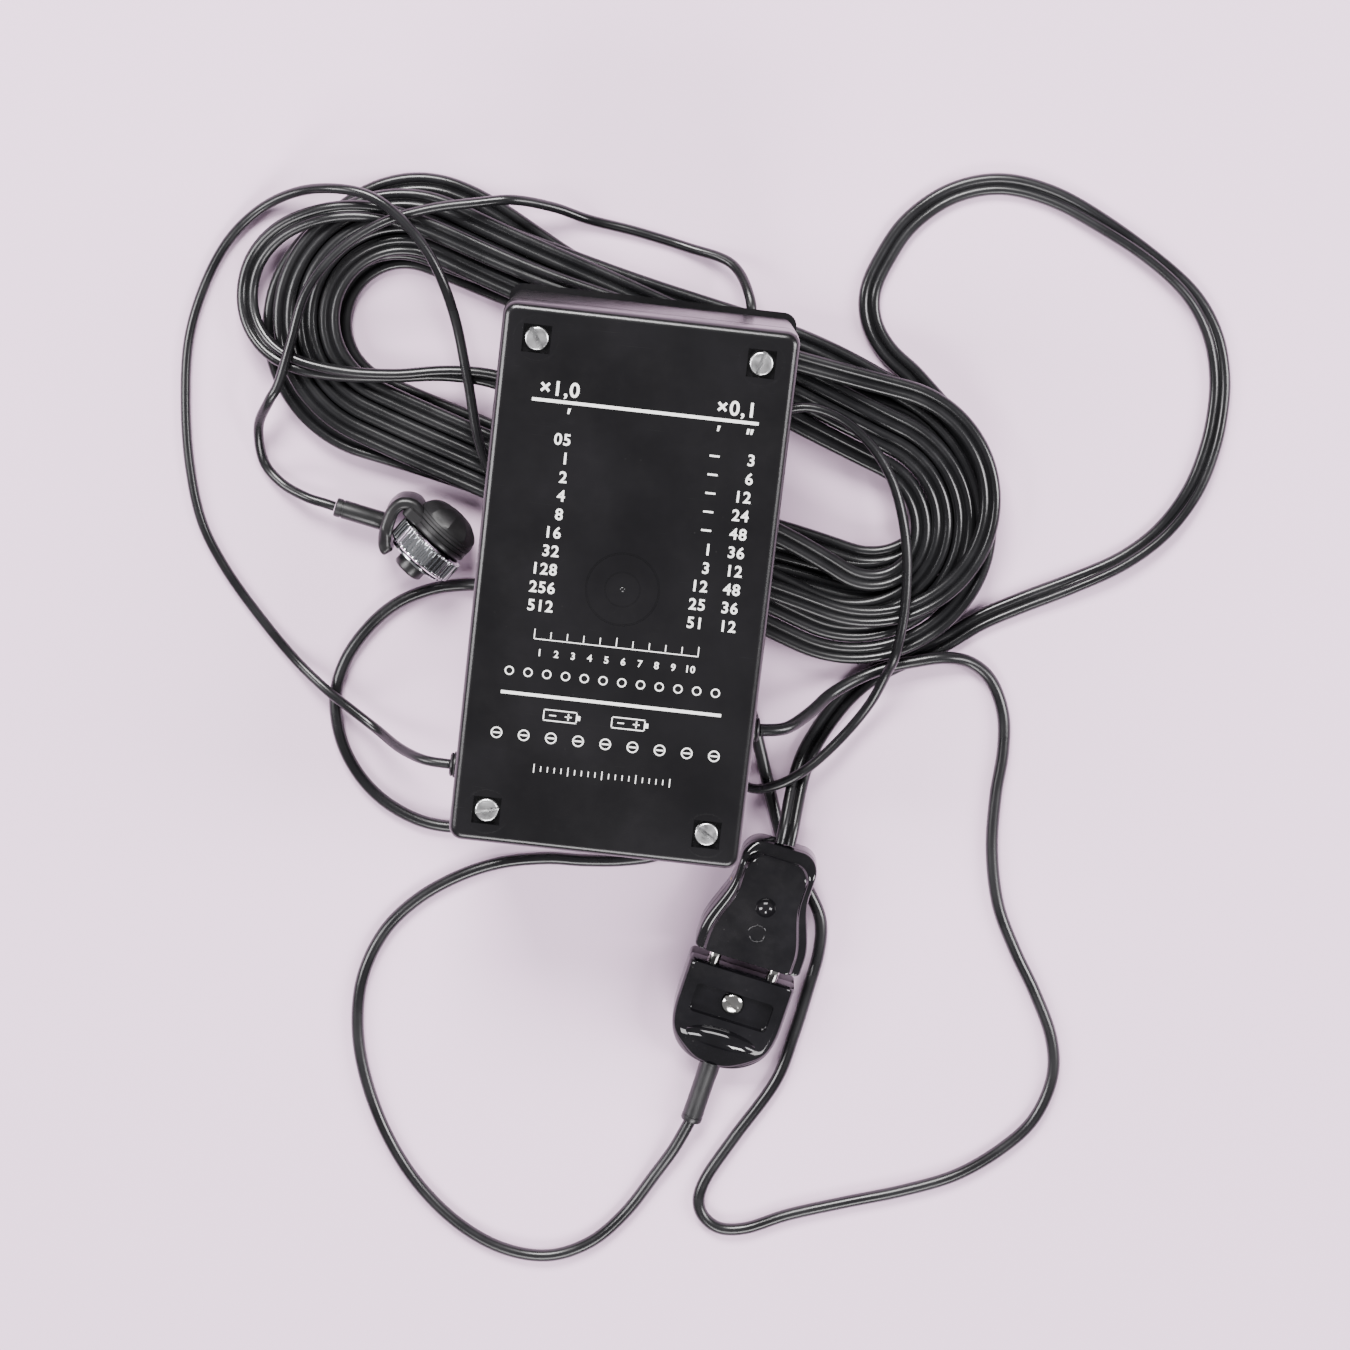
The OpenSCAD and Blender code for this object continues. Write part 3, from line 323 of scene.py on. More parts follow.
def scratch_group():
    """Hair-fine scratches: three crossed sets of noise stretched forty times one way."""
    tree, source, sink = new_group(
        "Fine Scratches", [("Amount", "NodeSocketFloat", 0.3)], [("Mask", "NodeSocketFloat")])
    place = tree.nodes.new("ShaderNodeTexCoord").outputs["Object"]
    total = None
    for turn in (0.35, 1.2, 2.4):
        mapping = tree.nodes.new("ShaderNodeMapping")
        mapping.inputs["Rotation"].default_value = (0.2, 0.1, turn)
        mapping.inputs["Scale"].default_value = (1.0, 40.0, 1.0)
        tree.links.new(place, mapping.inputs["Vector"])
        line = range_node(tree, noise_node(tree, mapping.outputs[0], 55.0, 3.0, 0.6), 0.70, 0.76)
        total = line if total is None else math_node(tree, "MAXIMUM", total, line)
    tree.links.new(math_node(tree, "MULTIPLY", total, source.outputs["Amount"], True), sink.inputs["Mask"])
    return tree


GROUP_MAKERS = {
    "Moulding Grain": grain_group,
    "Edge Wear": wear_group,
    "Settled Dust": dust_group,
    "Fine Scratches": scratch_group,
}


def group_node(tree, name, **values):
    """Places a shader node group, building it the first time; underscores in values stand for spaces."""
    made = bpy.data.node_groups.get(name) or GROUP_MAKERS[name]()
    node = tree.nodes.new("ShaderNodeGroup")
    node.node_tree = made
    for key, value in values.items():
        node.inputs[key.replace("_", " ")].default_value = value
    return node


def mix_colour(tree, mask, a, b):
    """Mixes colour a (socket or RGB) towards colour b by a mask socket."""
    node = tree.nodes.new("ShaderNodeMix")
    node.data_type = "RGBA"
    tree.links.new(mask, node.inputs["Factor"])
    for socket, value in ((node.inputs[6], a), (node.inputs[7], b)):
        if isinstance(value, bpy.types.NodeSocket):
            tree.links.new(value, socket)
        else:
            socket.default_value = (*value, 1.0)
    return node.outputs[2]


def finish_material(name, colour, rough, metallic=0.0, grain=2500.0, bump=0.02, blotch=60.0, tint=0.25,
                    gloss_spread=0.08, wear=0.3, worn=None, dust=0.3, scratch=0.2):
    """One moulded, plated or painted finish.

    Base colour drifts with the blotches, edges turn to the worn colour, and dust lies on top;
    roughness drifts too, and rises under dust and scratches."""
    found = bpy.data.materials.get(name)
    if found:
        return found
    material = bpy.data.materials.new(name)
    material.use_nodes = True
    tree = material.node_tree
    shader = tree.nodes["Principled BSDF"]
    grain_node = group_node(tree, "Moulding Grain", Grain_Scale=grain, Blotch_Scale=blotch)
    wear_node = group_node(tree, "Edge Wear", Amount=wear)
    dust_node = group_node(tree, "Settled Dust", Amount=dust)
    scratch_node = group_node(tree, "Fine Scratches", Amount=scratch)
    colour = tuple(colour)
    worn = tuple(worn) if worn else tuple(min(1.0, 1.8 * c + 0.02) for c in colour)
    light = tuple(min(1.0, c * (1 + tint)) for c in colour)
    dark = tuple(c * (1 - tint) for c in colour)
    shade = mix_colour(tree, range_node(tree, grain_node.outputs["Blotch"], 0.3, 0.7), dark, light)
    shade = mix_colour(tree, wear_node.outputs["Mask"], shade, worn)
    shade = mix_colour(tree, dust_node.outputs["Mask"], shade, (0.42, 0.40, 0.40))
    tree.links.new(shade, shader.inputs["Base Color"])
    drift = range_node(tree, grain_node.outputs["Blotch"], 0.25, 0.75, rough - gloss_spread, rough + gloss_spread)
    drift = math_node(tree, "ADD", drift, math_node(tree, "MULTIPLY", dust_node.outputs["Mask"], 0.5))
    drift = math_node(tree, "ADD", drift, math_node(tree, "MULTIPLY", scratch_node.outputs["Mask"], 0.25), True)
    tree.links.new(drift, shader.inputs["Roughness"])
    shader.inputs["Metallic"].default_value = metallic
    height = math_node(tree, "SUBTRACT", grain_node.outputs["Height"],
                       math_node(tree, "MULTIPLY", scratch_node.outputs["Mask"], 0.8))
    bump_node = tree.nodes.new("ShaderNodeBump")
    bump_node.inputs["Strength"].default_value = 1.0
    bump_node.inputs["Distance"].default_value = bump * MM
    tree.links.new(height, bump_node.inputs["Height"])
    tree.links.new(bump_node.outputs["Normal"], shader.inputs["Normal"])
    return material


# Finishes of the new pieces: material name, colour or the setting that holds it, roughness, and what differs
FINISHES = {
    "case": ("case_satin_black", ("timer_case", "colour"), 0.24, dict(
        grain=1500.0, bump=0.008, wear=0.1, dust=0.02, scratch=0.2, blotch=30.0, gloss_spread=0.02)),
    "plug": ("plug_polished_black", ("timer_plug", "colour"), 0.085, dict(
        grain=900.0, bump=0.004, wear=0.2, dust=0.10, scratch=0.25, gloss_spread=0.03)),
    "head": ("head_satin_black", ("timer_head", "colour"), 0.36, dict(
        grain=2600.0, bump=0.02, wear=0.3, dust=0.12, scratch=0.2)),
    "dome": ("dome_matt_black", ("timer_head", "colour"), 0.5, dict(
        grain=1800.0, bump=0.05, wear=0.2, dust=0.25, scratch=0.2)),
    "cord": ("cord_soft_black", ("timer_cords", "colour"), 0.27, dict(
        grain=900.0, bump=0.010, wear=0.0, dust=0.025, scratch=0.1, blotch=45.0)),
    "boot": ("boot_soft_black", (0.009, 0.009, 0.010), 0.40, dict(
        grain=1800.0, bump=0.015, wear=0.1, dust=0.12, scratch=0.1)),
    "chrome": ("ring_chrome", (0.83, 0.84, 0.86), 0.10, dict(
        metallic=1.0, bump=0.002, wear=0.1, dust=0.06, scratch=0.3, gloss_spread=0.04, tint=0.05,
        worn=(0.72, 0.70, 0.66))),
    "zinc": ("zinc_plate", (0.68, 0.68, 0.685), 0.32, dict(
        metallic=1.0, grain=3500.0, bump=0.012, wear=0.15, dust=0.08, scratch=0.5, blotch=300.0, tint=0.06,
        worn=(0.80, 0.80, 0.80))),
    "nickel": ("pin_nickel", (0.74, 0.71, 0.66), 0.20, dict(
        metallic=1.0, bump=0.005, wear=0.2, dust=0.05, scratch=0.5, tint=0.1)),
    "print": ("print_white", ("timer_case", "print_colour"), 0.50, dict(
        grain=4000.0, bump=0.01, wear=0.0, dust=0.05, scratch=0.1, blotch=300.0, tint=0.05)),
}


def finish(key):
    """The material of one of the finishes above, made the first time it is asked for."""
    name, colour, rough, extra = FINISHES[key]
    if isinstance(colour[0], str):
        colour = getattr(getattr(bpy.context.scene, colour[0]), colour[1])
    return finish_material(name, colour, rough, **extra)


# Finishes of the pieces carried over from the frame: colour, roughness, metallic, grain scale
CARRIED_FINISHES = {
    "control_panel": ("panel_anodised", (0.56, 0.57, 0.59), 0.38, 1.0, 4000.0),
    "case_inserts": ("insert_brass", (0.64, 0.47, 0.20), 0.32, 1.0, 2500.0),
    "knob_bush": ("bush_brass", (0.64, 0.47, 0.20), 0.30, 1.0, 2500.0),
    "selector_shaft": ("shaft_steel", (0.55, 0.56, 0.58), 0.24, 1.0, 3000.0),
    "selector_bushing": ("bushing_brass", (0.62, 0.46, 0.21), 0.30, 1.0, 2500.0),
    "selector_nut": ("nut_zinc", (0.64, 0.65, 0.66), 0.36, 1.0, 3000.0),
    "selector_housing": ("housing_phenolic", (0.17, 0.066, 0.028), 0.46, 0.0, 1800.0),
    "selector_rotor": ("rotor_brass", (0.64, 0.50, 0.24), 0.34, 1.0, 2500.0),
    "range_slider": ("slider_red", (0.50, 0.026, 0.018), 0.34, 0.0, 2000.0),
    "power_slider": ("slider_white", (0.66, 0.65, 0.61), 0.38, 0.0, 2000.0),
    "switch_housings": ("switch_steel", (0.54, 0.55, 0.56), 0.36, 1.0, 3000.0),
    "button_bushing": ("button_bush_plate", (0.66, 0.67, 0.68), 0.26, 1.0, 3000.0),
    "led_bezel": ("bezel_plate", (0.68, 0.69, 0.70), 0.22, 1.0, 3000.0),
    "circuit_board": ("board_mask", (0.045, 0.15, 0.055), 0.32, 0.0, 1500.0),
    "board_screws": ("board_screw_zinc", (0.64, 0.65, 0.66), 0.36, 1.0, 3000.0),
    "relay": ("relay_blue", (0.03, 0.085, 0.24), 0.34, 0.0, 2000.0),
    "timer_chip": ("chip_epoxy", (0.018, 0.018, 0.019), 0.52, 0.0, 3000.0),
    "capacitors": ("capacitor_sleeve", (0.045, 0.075, 0.16), 0.28, 0.0, 1500.0),
    "resistors": ("resistor_lacquer", (0.50, 0.35, 0.19), 0.42, 0.0, 2500.0),
    "trimmer": ("trimmer_blue", (0.03, 0.115, 0.38), 0.36, 0.0, 2000.0),
    "battery": ("battery_can", (0.33, 0.045, 0.03), 0.30, 0.0, 1500.0),
    "battery_snap": ("snap_vinyl", (0.014, 0.014, 0.014), 0.48, 0.0, 1800.0),
    "battery_pad": ("foam_grey", (0.075, 0.075, 0.08), 0.90, 0.0, 5000.0),
    "head_contacts": ("contact_gold", (0.72, 0.54, 0.24), 0.22, 1.0, 2500.0),
    "plug_nut": ("nut_zinc", (0.64, 0.65, 0.66), 0.36, 1.0, 3000.0),
    "coupling_sockets": ("socket_brass", (0.64, 0.50, 0.24), 0.30, 1.0, 2500.0),
    "coupling_screw": ("nut_zinc", (0.64, 0.65, 0.66), 0.36, 1.0, 3000.0),
    "start_button": ("button_red", (0.42, 0.02, 0.016), 0.30, 0.0, 2000.0),
    "led_lens": ("lamp_red", (0.45, 0.012, 0.010), 0.12, 0.0, 900.0),
}


# ---------------------------------------------------------------- surfaces

def grid_faces(rows, columns, wrap_rows=False, wrap_columns=True):
    """Quads of a rows x columns grid of points, stored row by row."""
    r = np.arange(rows if wrap_rows else rows - 1)
    c = np.arange(columns if wrap_columns else columns - 1)
    r, c = np.meshgrid(r, c, indexing="ij")
    r2, c2 = (r + 1) % rows, (c + 1) % columns
    return np.stack([r * columns + c, r * columns + c2, r2 * columns + c2, r2 * columns + c], -1).reshape(-1, 4)


def joined(parts):
    """Several (points, face arrays) surfaces as one, their indices shifted to match."""
    points, faces, shift = [], [], 0
    for part_points, part_faces in parts:
        part_points = np.asarray(part_points, float).reshape(-1, 3)
        points.append(part_points)
        faces += [np.asarray(f) + shift for f in part_faces]
        shift += len(part_points)
    return np.vstack(points), faces


def lathe(profile, sides=64):
    """A profile of (radius, height) points turned about Z: (r cos a, r sin a, h)."""
    profile = np.asarray(profile, float)
    angle = np.linspace(0, 2 * np.pi, sides, endpoint=False)
    r, h = profile[:, :1], profile[:, 1:]
    points = np.stack([r * np.cos(angle), r * np.sin(angle), h + 0 * angle], -1)
    return points.reshape(-1, 3), [grid_faces(len(profile), sides)]


def turned(points, axis, angle):
    """Points turned about a coordinate axis by the right-hand rule."""
    c, s = math.cos(angle), math.sin(angle)
    matrix = {
        "X": [[1, 0, 0], [0, c, -s], [0, s, c]],
        "Y": [[c, 0, s], [0, 1, 0], [-s, 0, c]],
        "Z": [[c, -s, 0], [s, c, 0], [0, 0, 1]],
    }[axis]
    return np.asarray(points) @ np.array(matrix).T


def to_pair(points):
    """From the plug pair's own frame to the object's: tilt about the plug's heel, turn, then place."""
    points = np.asarray(points, float) + [0, PLUG_L, 0]
    points = turned(points, "X", PAIR_SLOPE) - [0, PLUG_L, 0]
    return turned(points, "Z", PAIR_TURN) + PAIR_AT


def to_head(points):
    """From the head's own frame, X along the ring's axis, to the object's."""
    return turned(points, "Z", HEAD_TURN) + HEAD_AT


def in_pair(surface):
    """A surface taken from the plug pair's own frame to the object's."""
    points, faces = surface
    return to_pair(points), faces


def in_head(surface):
    """A surface taken from the head's own frame to the object's."""
    points, faces = surface
    return to_head(points), faces


def spun(surface, axis, angle):
    """A surface turned about a coordinate axis."""
    points, faces = surface
    return turned(points, axis, angle), faces


def along_x(surface, start):
    """A lathe surface laid along +X from start."""
    points, faces = surface
    return turned(points, "Y", math.pi / 2) + [start, 0, 0], faces


def smoothstep(x, low, high):
    """0 below low, 1 above high, and a smooth cubic between."""
    t = np.clip((x - low) / (high - low), 0, 1)
    return t * t * (3 - 2 * t)


def piece(name, surface, material, body, sharp=SHARP):
    """Makes a mesh object in metres from a surface in millimetres, closes its seams and rides it on a body."""
    points, face_sets = surface
    points = np.asarray(points, np.float32).reshape(-1, 3) * MM
    corners = np.concatenate([np.asarray(f).ravel() for f in face_sets]).astype(np.int32)
    totals = np.concatenate([np.full(len(f), np.shape(f)[1]) for f in face_sets])
    mesh = bpy.data.meshes.new(name)
    mesh.vertices.add(len(points))
    mesh.vertices.foreach_set("co", points.ravel())
    mesh.loops.add(len(corners))
    mesh.loops.foreach_set("vertex_index", corners)
    mesh.polygons.add(len(totals))
    mesh.polygons.foreach_set("loop_start", np.concatenate([[0], np.cumsum(totals)[:-1]]).astype(np.int32))
    mesh.update(calc_edges=True)
    work = bmesh.new()
    work.from_mesh(mesh)
    bmesh.ops.remove_doubles(work, verts=work.verts, dist=1e-6)
    bmesh.ops.dissolve_degenerate(work, edges=work.edges, dist=1e-7)
    bmesh.ops.recalc_face_normals(work, faces=work.faces)
    work.to_mesh(mesh)
    work.free()
    mesh.validate()
    mesh.shade_smooth()
    mesh.set_sharp_from_angle(angle=math.radians(sharp))
    obj = bpy.data.objects.new(name, mesh)
    bpy.context.scene.collection.objects.link(obj)
    mesh.materials.append(material)
    if body:
        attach(obj, body)
    return obj


def applied(obj):
    """Applies an object's modifiers to its mesh."""
    bpy.context.view_layer.update()
    finished = bpy.data.meshes.new_from_object(obj.evaluated_get(bpy.context.evaluated_depsgraph_get()))
    obj.modifiers.clear()
    old = obj.data
    obj.data = finished
    bpy.data.meshes.remove(old)
    return obj


def carve(obj, cutter_surface):
    """Cuts a surface's volume out of a piece."""
    cutter = piece("cutter", cutter_surface, obj.data.materials[0], None)
    cut = obj.modifiers.new("cut", "BOOLEAN")
    cut.operation = "DIFFERENCE"
    cut.solver = "EXACT"
    cut.object = cutter
    applied(obj)
    bpy.data.objects.remove(cutter)
    obj.data.shade_smooth()
    obj.data.set_sharp_from_angle(angle=math.radians(SHARP))
    return obj


# ---------------------------------------------------------------- outlines and stacks

def rounded_outline(corners, radii, spacing=0.5):
    """A closed polygon with each corner replaced by an arc of its own radius, resampled evenly.

    At each corner the arc is tangent to both edges: its centre lies on the bisector, r / sin(half angle) in."""
    corners = np.asarray(corners, float)
    count = len(corners)
    radii = np.broadcast_to(np.asarray(radii, float), (count,))
    runs = []
    for i in range(count):
        here = corners[i]
        back = corners[i - 1] - here
        ahead = corners[(i + 1) % count] - here
        back /= np.linalg.norm(back)
        ahead /= np.linalg.norm(ahead)
        half = 0.5 * math.acos(float(np.clip(back @ ahead, -1, 1)))
        if radii[i] < 1e-6 or abs(half - math.pi / 2) < 1e-3:
            runs.append(here[None, :])
            continue
        reach = radii[i] / math.tan(half)
        bisector = back + ahead
        centre = here + bisector / np.linalg.norm(bisector) * radii[i] / math.sin(half)
        a = here + back * reach - centre
        b = here + ahead * reach - centre
        a0 = math.atan2(a[1], a[0])
        sweep = math.atan2(a[0] * b[1] - a[1] * b[0], a @ b)
        t = a0 + sweep * np.linspace(0, 1, 17)
        runs.append(centre + radii[i] * np.stack([np.cos(t), np.sin(t)], -1))
    return even_loop(np.vstack(runs), spacing)


def even_loop(loop, spacing):
    """A closed loop resampled at an even spacing."""
    closed = np.vstack([loop, loop[:1]])
    length = distances(closed)
    keep = np.concatenate([[True], np.diff(length) > 1e-9])
    count = max(24, int(round(length[-1] / spacing)))
    at = np.linspace(0, length[-1], count, endpoint=False)
    return np.stack([np.interp(at, length[keep], closed[keep, k]) for k in range(2)], -1)


def loop_normals(loop):
    """Outward unit normals of a closed anticlockwise loop."""
    along = np.roll(loop, -1, 0) - np.roll(loop, 1, 0)
    along /= np.linalg.norm(along, axis=1, keepdims=True)
    return np.stack([along[:, 1], -along[:, 0]], -1)


def stacked(loop, levels, top_rings=0, centre=None):
    """A body built of one outline carried up through levels of (inset, height).

    The outline is a loop, moved inwards along its normals, or a function that gives the loop for an inset. The
    underside is one flat face. The upper face is one too, or, with top_rings, rings drawn in evenly to the centre,
    so that it can be bent afterwards."""
    if callable(loop):
        outlines = [loop(inset) for inset, _ in levels]
    else:
        outlines = [loop - loop_normals(loop) * inset for inset, _ in levels]
    count = len(outlines[0])
    rings = [np.column_stack([outline, np.full(count, z)]) for outline, (_, z) in zip(outlines, levels)]
    caps = [np.arange(count)[None, ::-1]]
    if top_rings:
        last = rings[-1]
        centre = np.array([*centre, levels[-1][1]])
        rings += [last * (1 - s) + centre * s for s in np.linspace(0, 1, top_rings + 1)[1:]]
    else:
        caps.append(np.arange(count)[None, :] + (len(rings) - 1) * count)
    return np.vstack(rings), [grid_faces(len(rings), count)] + caps


def quarter_round(radius, z_edge, steps):
    """Levels of a quarter-round rim: inset grows by r(1 - cos a) while height grows by r sin a."""
    a = np.linspace(0, math.pi / 2, steps)
    return list(zip(radius * (1 - np.cos(a)), z_edge + radius * np.sin(a)))


# ---------------------------------------------------------------- cords

def smooth_route(route, samples=12):
    """A Catmull-Rom curve through a route's points, as arrays over all its stretches at once."""
    p = np.asarray(route, float)
    a = np.vstack([p[:1], p[:-2]])[:, None]
    b, c = p[:-1, None], p[1:, None]
    d = np.vstack([p[2:], p[-1:]])[:, None]
    t = np.linspace(0, 1, samples, endpoint=False)[None, :, None]
    curve = 0.5 * (2 * b + (c - a) * t + (2 * a - 5 * b + 4 * c - d) * t**2 + (3 * b - a - 3 * c + d) * t**3)
    return np.vstack([curve.reshape(-1, 3), p[-1:]])


def even_path(path, spacing, lowest):
    """An open path resampled evenly and kept from dipping under a height."""
    length = distances(path)
    count = int(length[-1] / spacing) + 1
    at = np.linspace(0, length[-1], count)
    out = np.stack([np.interp(at, length, path[:, k]) for k in range(3)], -1)
    out[:, 2] = np.maximum(out[:, 2], lowest)
    return out


def distances(path):
    """How far along a path each of its points lies."""
    return np.concatenate([[0], np.cumsum(np.linalg.norm(np.diff(path, axis=0), axis=1))])


def path_length(path):
    """A path's whole length."""
    return float(np.linalg.norm(np.diff(path, axis=0), axis=1).sum())


def sweep(path, section, roll=None):
    """A section of (across, up) points carried along a path.

    Across is the level normal of the path, up completes the frame, and roll turns the section about the path."""
    along = np.gradient(path, axis=0)
    along /= np.linalg.norm(along, axis=1, keepdims=True)
    across = np.cross(along, [0, 0, 1.0])
    across /= np.linalg.norm(across, axis=1, keepdims=True)
    up = np.cross(across, along)
    section = np.asarray(section, float)
    roll = np.zeros(len(path)) if roll is None else roll
    c, s = np.cos(roll)[:, None], np.sin(roll)[:, None]
    x = section[None, :, 0] * c - section[None, :, 1] * s
    y = section[None, :, 0] * s + section[None, :, 1] * c
    points = path[:, None] + across[:, None] * x[..., None] + up[:, None] * y[..., None]
    sides = len(section)
    last = (len(path) - 1) * sides
    ends = [np.arange(sides)[None, ::-1], np.arange(sides)[None, :] + last]
    return points.reshape(-1, 3), [grid_faces(len(path), sides)] + ends


def round_section(diameter, sides=16):
    """A circle: (r cos a, r sin a)."""
    a = np.linspace(0, 2 * np.pi, sides, endpoint=False)
    return 0.5 * diameter * np.stack([np.cos(a), np.sin(a)], -1)


def twin_section(width, thickness, steps=11):
    """Two touching round cores with a narrow web: arcs about each core's centre, open towards the web."""
    offset = (width - thickness) / 2
    opening = math.radians(15)
    a = np.linspace(-math.pi + opening, math.pi - opening, steps)
    right = np.stack([offset + thickness / 2 * np.cos(a), thickness / 2 * np.sin(a)], -1)
    return np.vstack([right, -right])


def hank_turns(start, stop, layers):
    """A stretch of the wound lead's centreline between two turn counts; layers gives each place's layer and lane.

    A turn runs along the upper side, round the right end, back along the lower side and round the left end, about
    the line from one round end's centre to the other. Its lane is a distance from that line."""
    a = np.arange(start, stop, 1 / 240)
    layer, fold = layers(a)
    lean = np.interp(layer, np.arange(4), (0.0, 4.4, -3.8, 3.2))
    axis = HANK_B - HANK_A
    along = axis / np.linalg.norm(axis)
    side = np.array([-along[1], along[0]])
    phase = a % 1.0
    straight, arc = 0.30, 0.20
    upper = np.clip(phase / straight, 0, 1)
    right = np.clip((phase - straight) / arc, 0, 1)
    lower = np.clip((phase - straight - arc) / straight, 0, 1)
    left = np.clip((phase - 2 * straight - arc) / arc, 0, 1)
    share = upper - lower
    heading = math.pi / 2 - math.pi * (right + left)
    wobble = 1.9 * np.sin(2 * np.pi * a + 1.9 * layer) + 1.2 * np.sin(6 * np.pi * a + 2.4 * layer)
    bulge = 9.5 * np.exp(-((a - 1.0) / 0.07) ** 2) + 4.0 * np.exp(-((a - 3.42) / 0.09) ** 2)
    radius = HANK_R - LANE_INSET - LANE_PITCH * fold + wobble * np.clip(layer, 0.3, 1.0) + bulge
    centre = HANK_A + share[:, None] * axis + (lean * (2 * share - 1))[:, None] * side
    flat = centre + radius[:, None] * (np.cos(heading)[:, None] * along + np.sin(heading)[:, None] * side)
    return np.column_stack([flat, FIRST_LAYER_Z + LAYER_STEP * layer])


def wound_layers(a):
    """The three full layers: lanes run in through one layer and out through the next, climbing between them."""
    layer = np.minimum(np.floor(a / LANES), 2)
    within = a - layer * LANES
    fold = np.where(layer % 2 == 0, within, LANES - within)
    climb = smoothstep(within, LANES - 0.25, LANES)
    return layer + climb, fold


def top_layer(a):
    """The last turn, alone on top, its lane drifting outwards."""
    return np.full(len(a), 3.0), 1.42 - 1.9 * (a - LAST_TURN)


def bridged(before, route, after):
    """Two paths joined by a smooth route that leaves the first and meets the second along their own headings."""
    curve = smooth_route([before[-40], before[-1]] + list(route) + [after[0], after[40]])
    curve = curve[12:-12]
    return np.vstack([before, curve[1:-1], after])


# ---------------------------------------------------------------- cords and camera

class TIMER_OT_camera(bpy.types.Operator):
    """Places the camera high over the timer, looking almost straight down"""

    bl_idname = "timer.camera"
    bl_label = "Camera"

    def execute(self, context):
        camera = bpy.data.cameras.new("camera")
        camera.sensor_width = 36.0
        camera.lens = CAMERA_LENS
        camera.clip_start = 0.05
        obj = bpy.data.objects.new("camera", camera)
        obj.location = CAMERA_AT
        obj.rotation_euler = CAMERA_TURN
        context.scene.collection.objects.link(obj)
        context.scene.camera = obj
        return {"FINISHED"}


def round_cord(name, route, diameter, replaced):
    """A round cord on a smoothed route, its first and last few millimetres inside its fittings."""
    path = even_path(smooth_route(route), 1.2, diameter / 2 + 0.03)
    cord = piece(name, sweep(path, round_section(diameter)), finish("cord"), "case", sharp=60)
    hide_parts(replaced)


class TIMER_OT_release_cord(bpy.types.Operator):
    """Lays the thin cord from the case's left side to the release head"""

    bl_idname = "timer.release_cord"
    bl_label = "Release Cord"

    def execute(self, context):
        round_cord("release_cord_laid", RELEASE_ROUTE, context.scene.timer_cords.release_d,
                   "release_cord")
        return {"FINISHED"}


class TIMER_OT_plug_cord(bpy.types.Operator):
    """Lays the cord from the case's right side to the two-pin plug"""

    bl_idname = "timer.plug_cord"
    bl_label = "Plug Cord"

    def execute(self, context):
        round_cord("plug_cord_laid", PLUG_ROUTE, context.scene.timer_cords.plug_d, "plug_cord")
        return {"FINISHED"}


class TIMER_OT_twin_lead(bpy.types.Operator):
    """Lays the flat twin lead: a wide loop from the coupling, the wound hank, and its short tail to the jack"""

    bl_idname = "timer.twin_lead"
    bl_label = "Twin Lead"

    def execute(self, context):
        cords = context.scene.timer_cords
        lead = even_path(smooth_route(TWIN_ROUTE + JOIN_ROUTE), 1.5, 0.0)
        wound = hank_turns(0.34, 9.58, wound_layers)
        last = hank_turns(LAST_TURN, cords.turns, top_layer)
        stray_at = path_length(lead) + path_length(wound)
        wound = bridged(wound, STRAY_ROUTE, last)
        tail_start = [tuple(wound[-30]), tuple(wound[-1])]
        tail = even_path(smooth_route(tail_start + LEAVE_ROUTE + TAIL_ROUTE), 1.5, 0.0)
        skip = int(np.argmin(np.linalg.norm(tail - wound[-1], axis=1)))
        path = np.vstack([lead, wound, tail[skip + 1:]])
        path = even_path(path, 1.6, cords.twin_t / 2 + 0.03)
        path = eased(path, 2)
        roll = twin_roll(distances(path), path_length(lead), stray_at)
        path[:, 2] += 0.5 * (cords.twin_w - cords.twin_t) * np.abs(np.sin(roll))
        surface = sweep(path, twin_section(cords.twin_w, cords.twin_t), roll)
        cord = piece("twin_lead_laid", surface, finish("cord"), "case", sharp=50)
        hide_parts("twin_lead", "twin_hank", "twin_tail")
        return {"FINISHED"}


def eased(path, passes):
    """A path smoothed a little: each inner point moves to the mean of itself and its neighbours."""
    for _ in range(passes):
        path[1:-1] = (path[:-2] + 2 * path[1:-1] + path[2:]) / 4
    return path


def twin_roll(length, loop_length, stray_at):
    """How far the flat lead lies over, in radians: two leans in its loop, hardly any in the hank, more past stray_at.

    Each lean is a bell curve of the distance along the lead; past stray_at a slow sine comes in and fades again."""
    lean = 0.75 * np.exp(-((length - 150) / 28) ** 2) - 0.9 * np.exp(-((length - 255) / 30) ** 2)
    lean = lean * (length < loop_length)
    lean += 0.04 * np.sin(length / 37.0) * (length > loop_length)
    past = length - stray_at
    lean += 1.15 * np.exp(-((past - 135) / 34) ** 2)
    return lean + 0.45 * np.sin(past / 29.0) * smoothstep(past, 190, 240) * smoothstep(-past, -430, -330)


# ---------------------------------------------------------------- case

def case_shell(outer_levels, inner_levels, wall, corner):
    """A tray: the inner wall's levels run from its ceiling or floor to the open edge, the outer wall's run back."""
    half_w, half_l = CASE_W / 2, CASE_L / 2
    corners = np.array([[half_w, half_l], [-half_w, half_l], [-half_w, -half_l], [half_w, -half_l]])
    outer = rounded_outline(corners, corner, 1.0)
    normals = loop_normals(outer)
    levels = [(wall + inset, z) for inset, z in inner_levels] + list(outer_levels)
    rings = [np.column_stack([outer - normals * inset, np.full(len(outer), z)]) for inset, z in levels]
    last = (len(rings) - 1) * len(outer)
    caps = [np.arange(len(outer))[None, ::-1], np.arange(len(outer))[None, :] + last]
    return np.vstack(rings), [grid_faces(len(rings), len(outer))] + caps


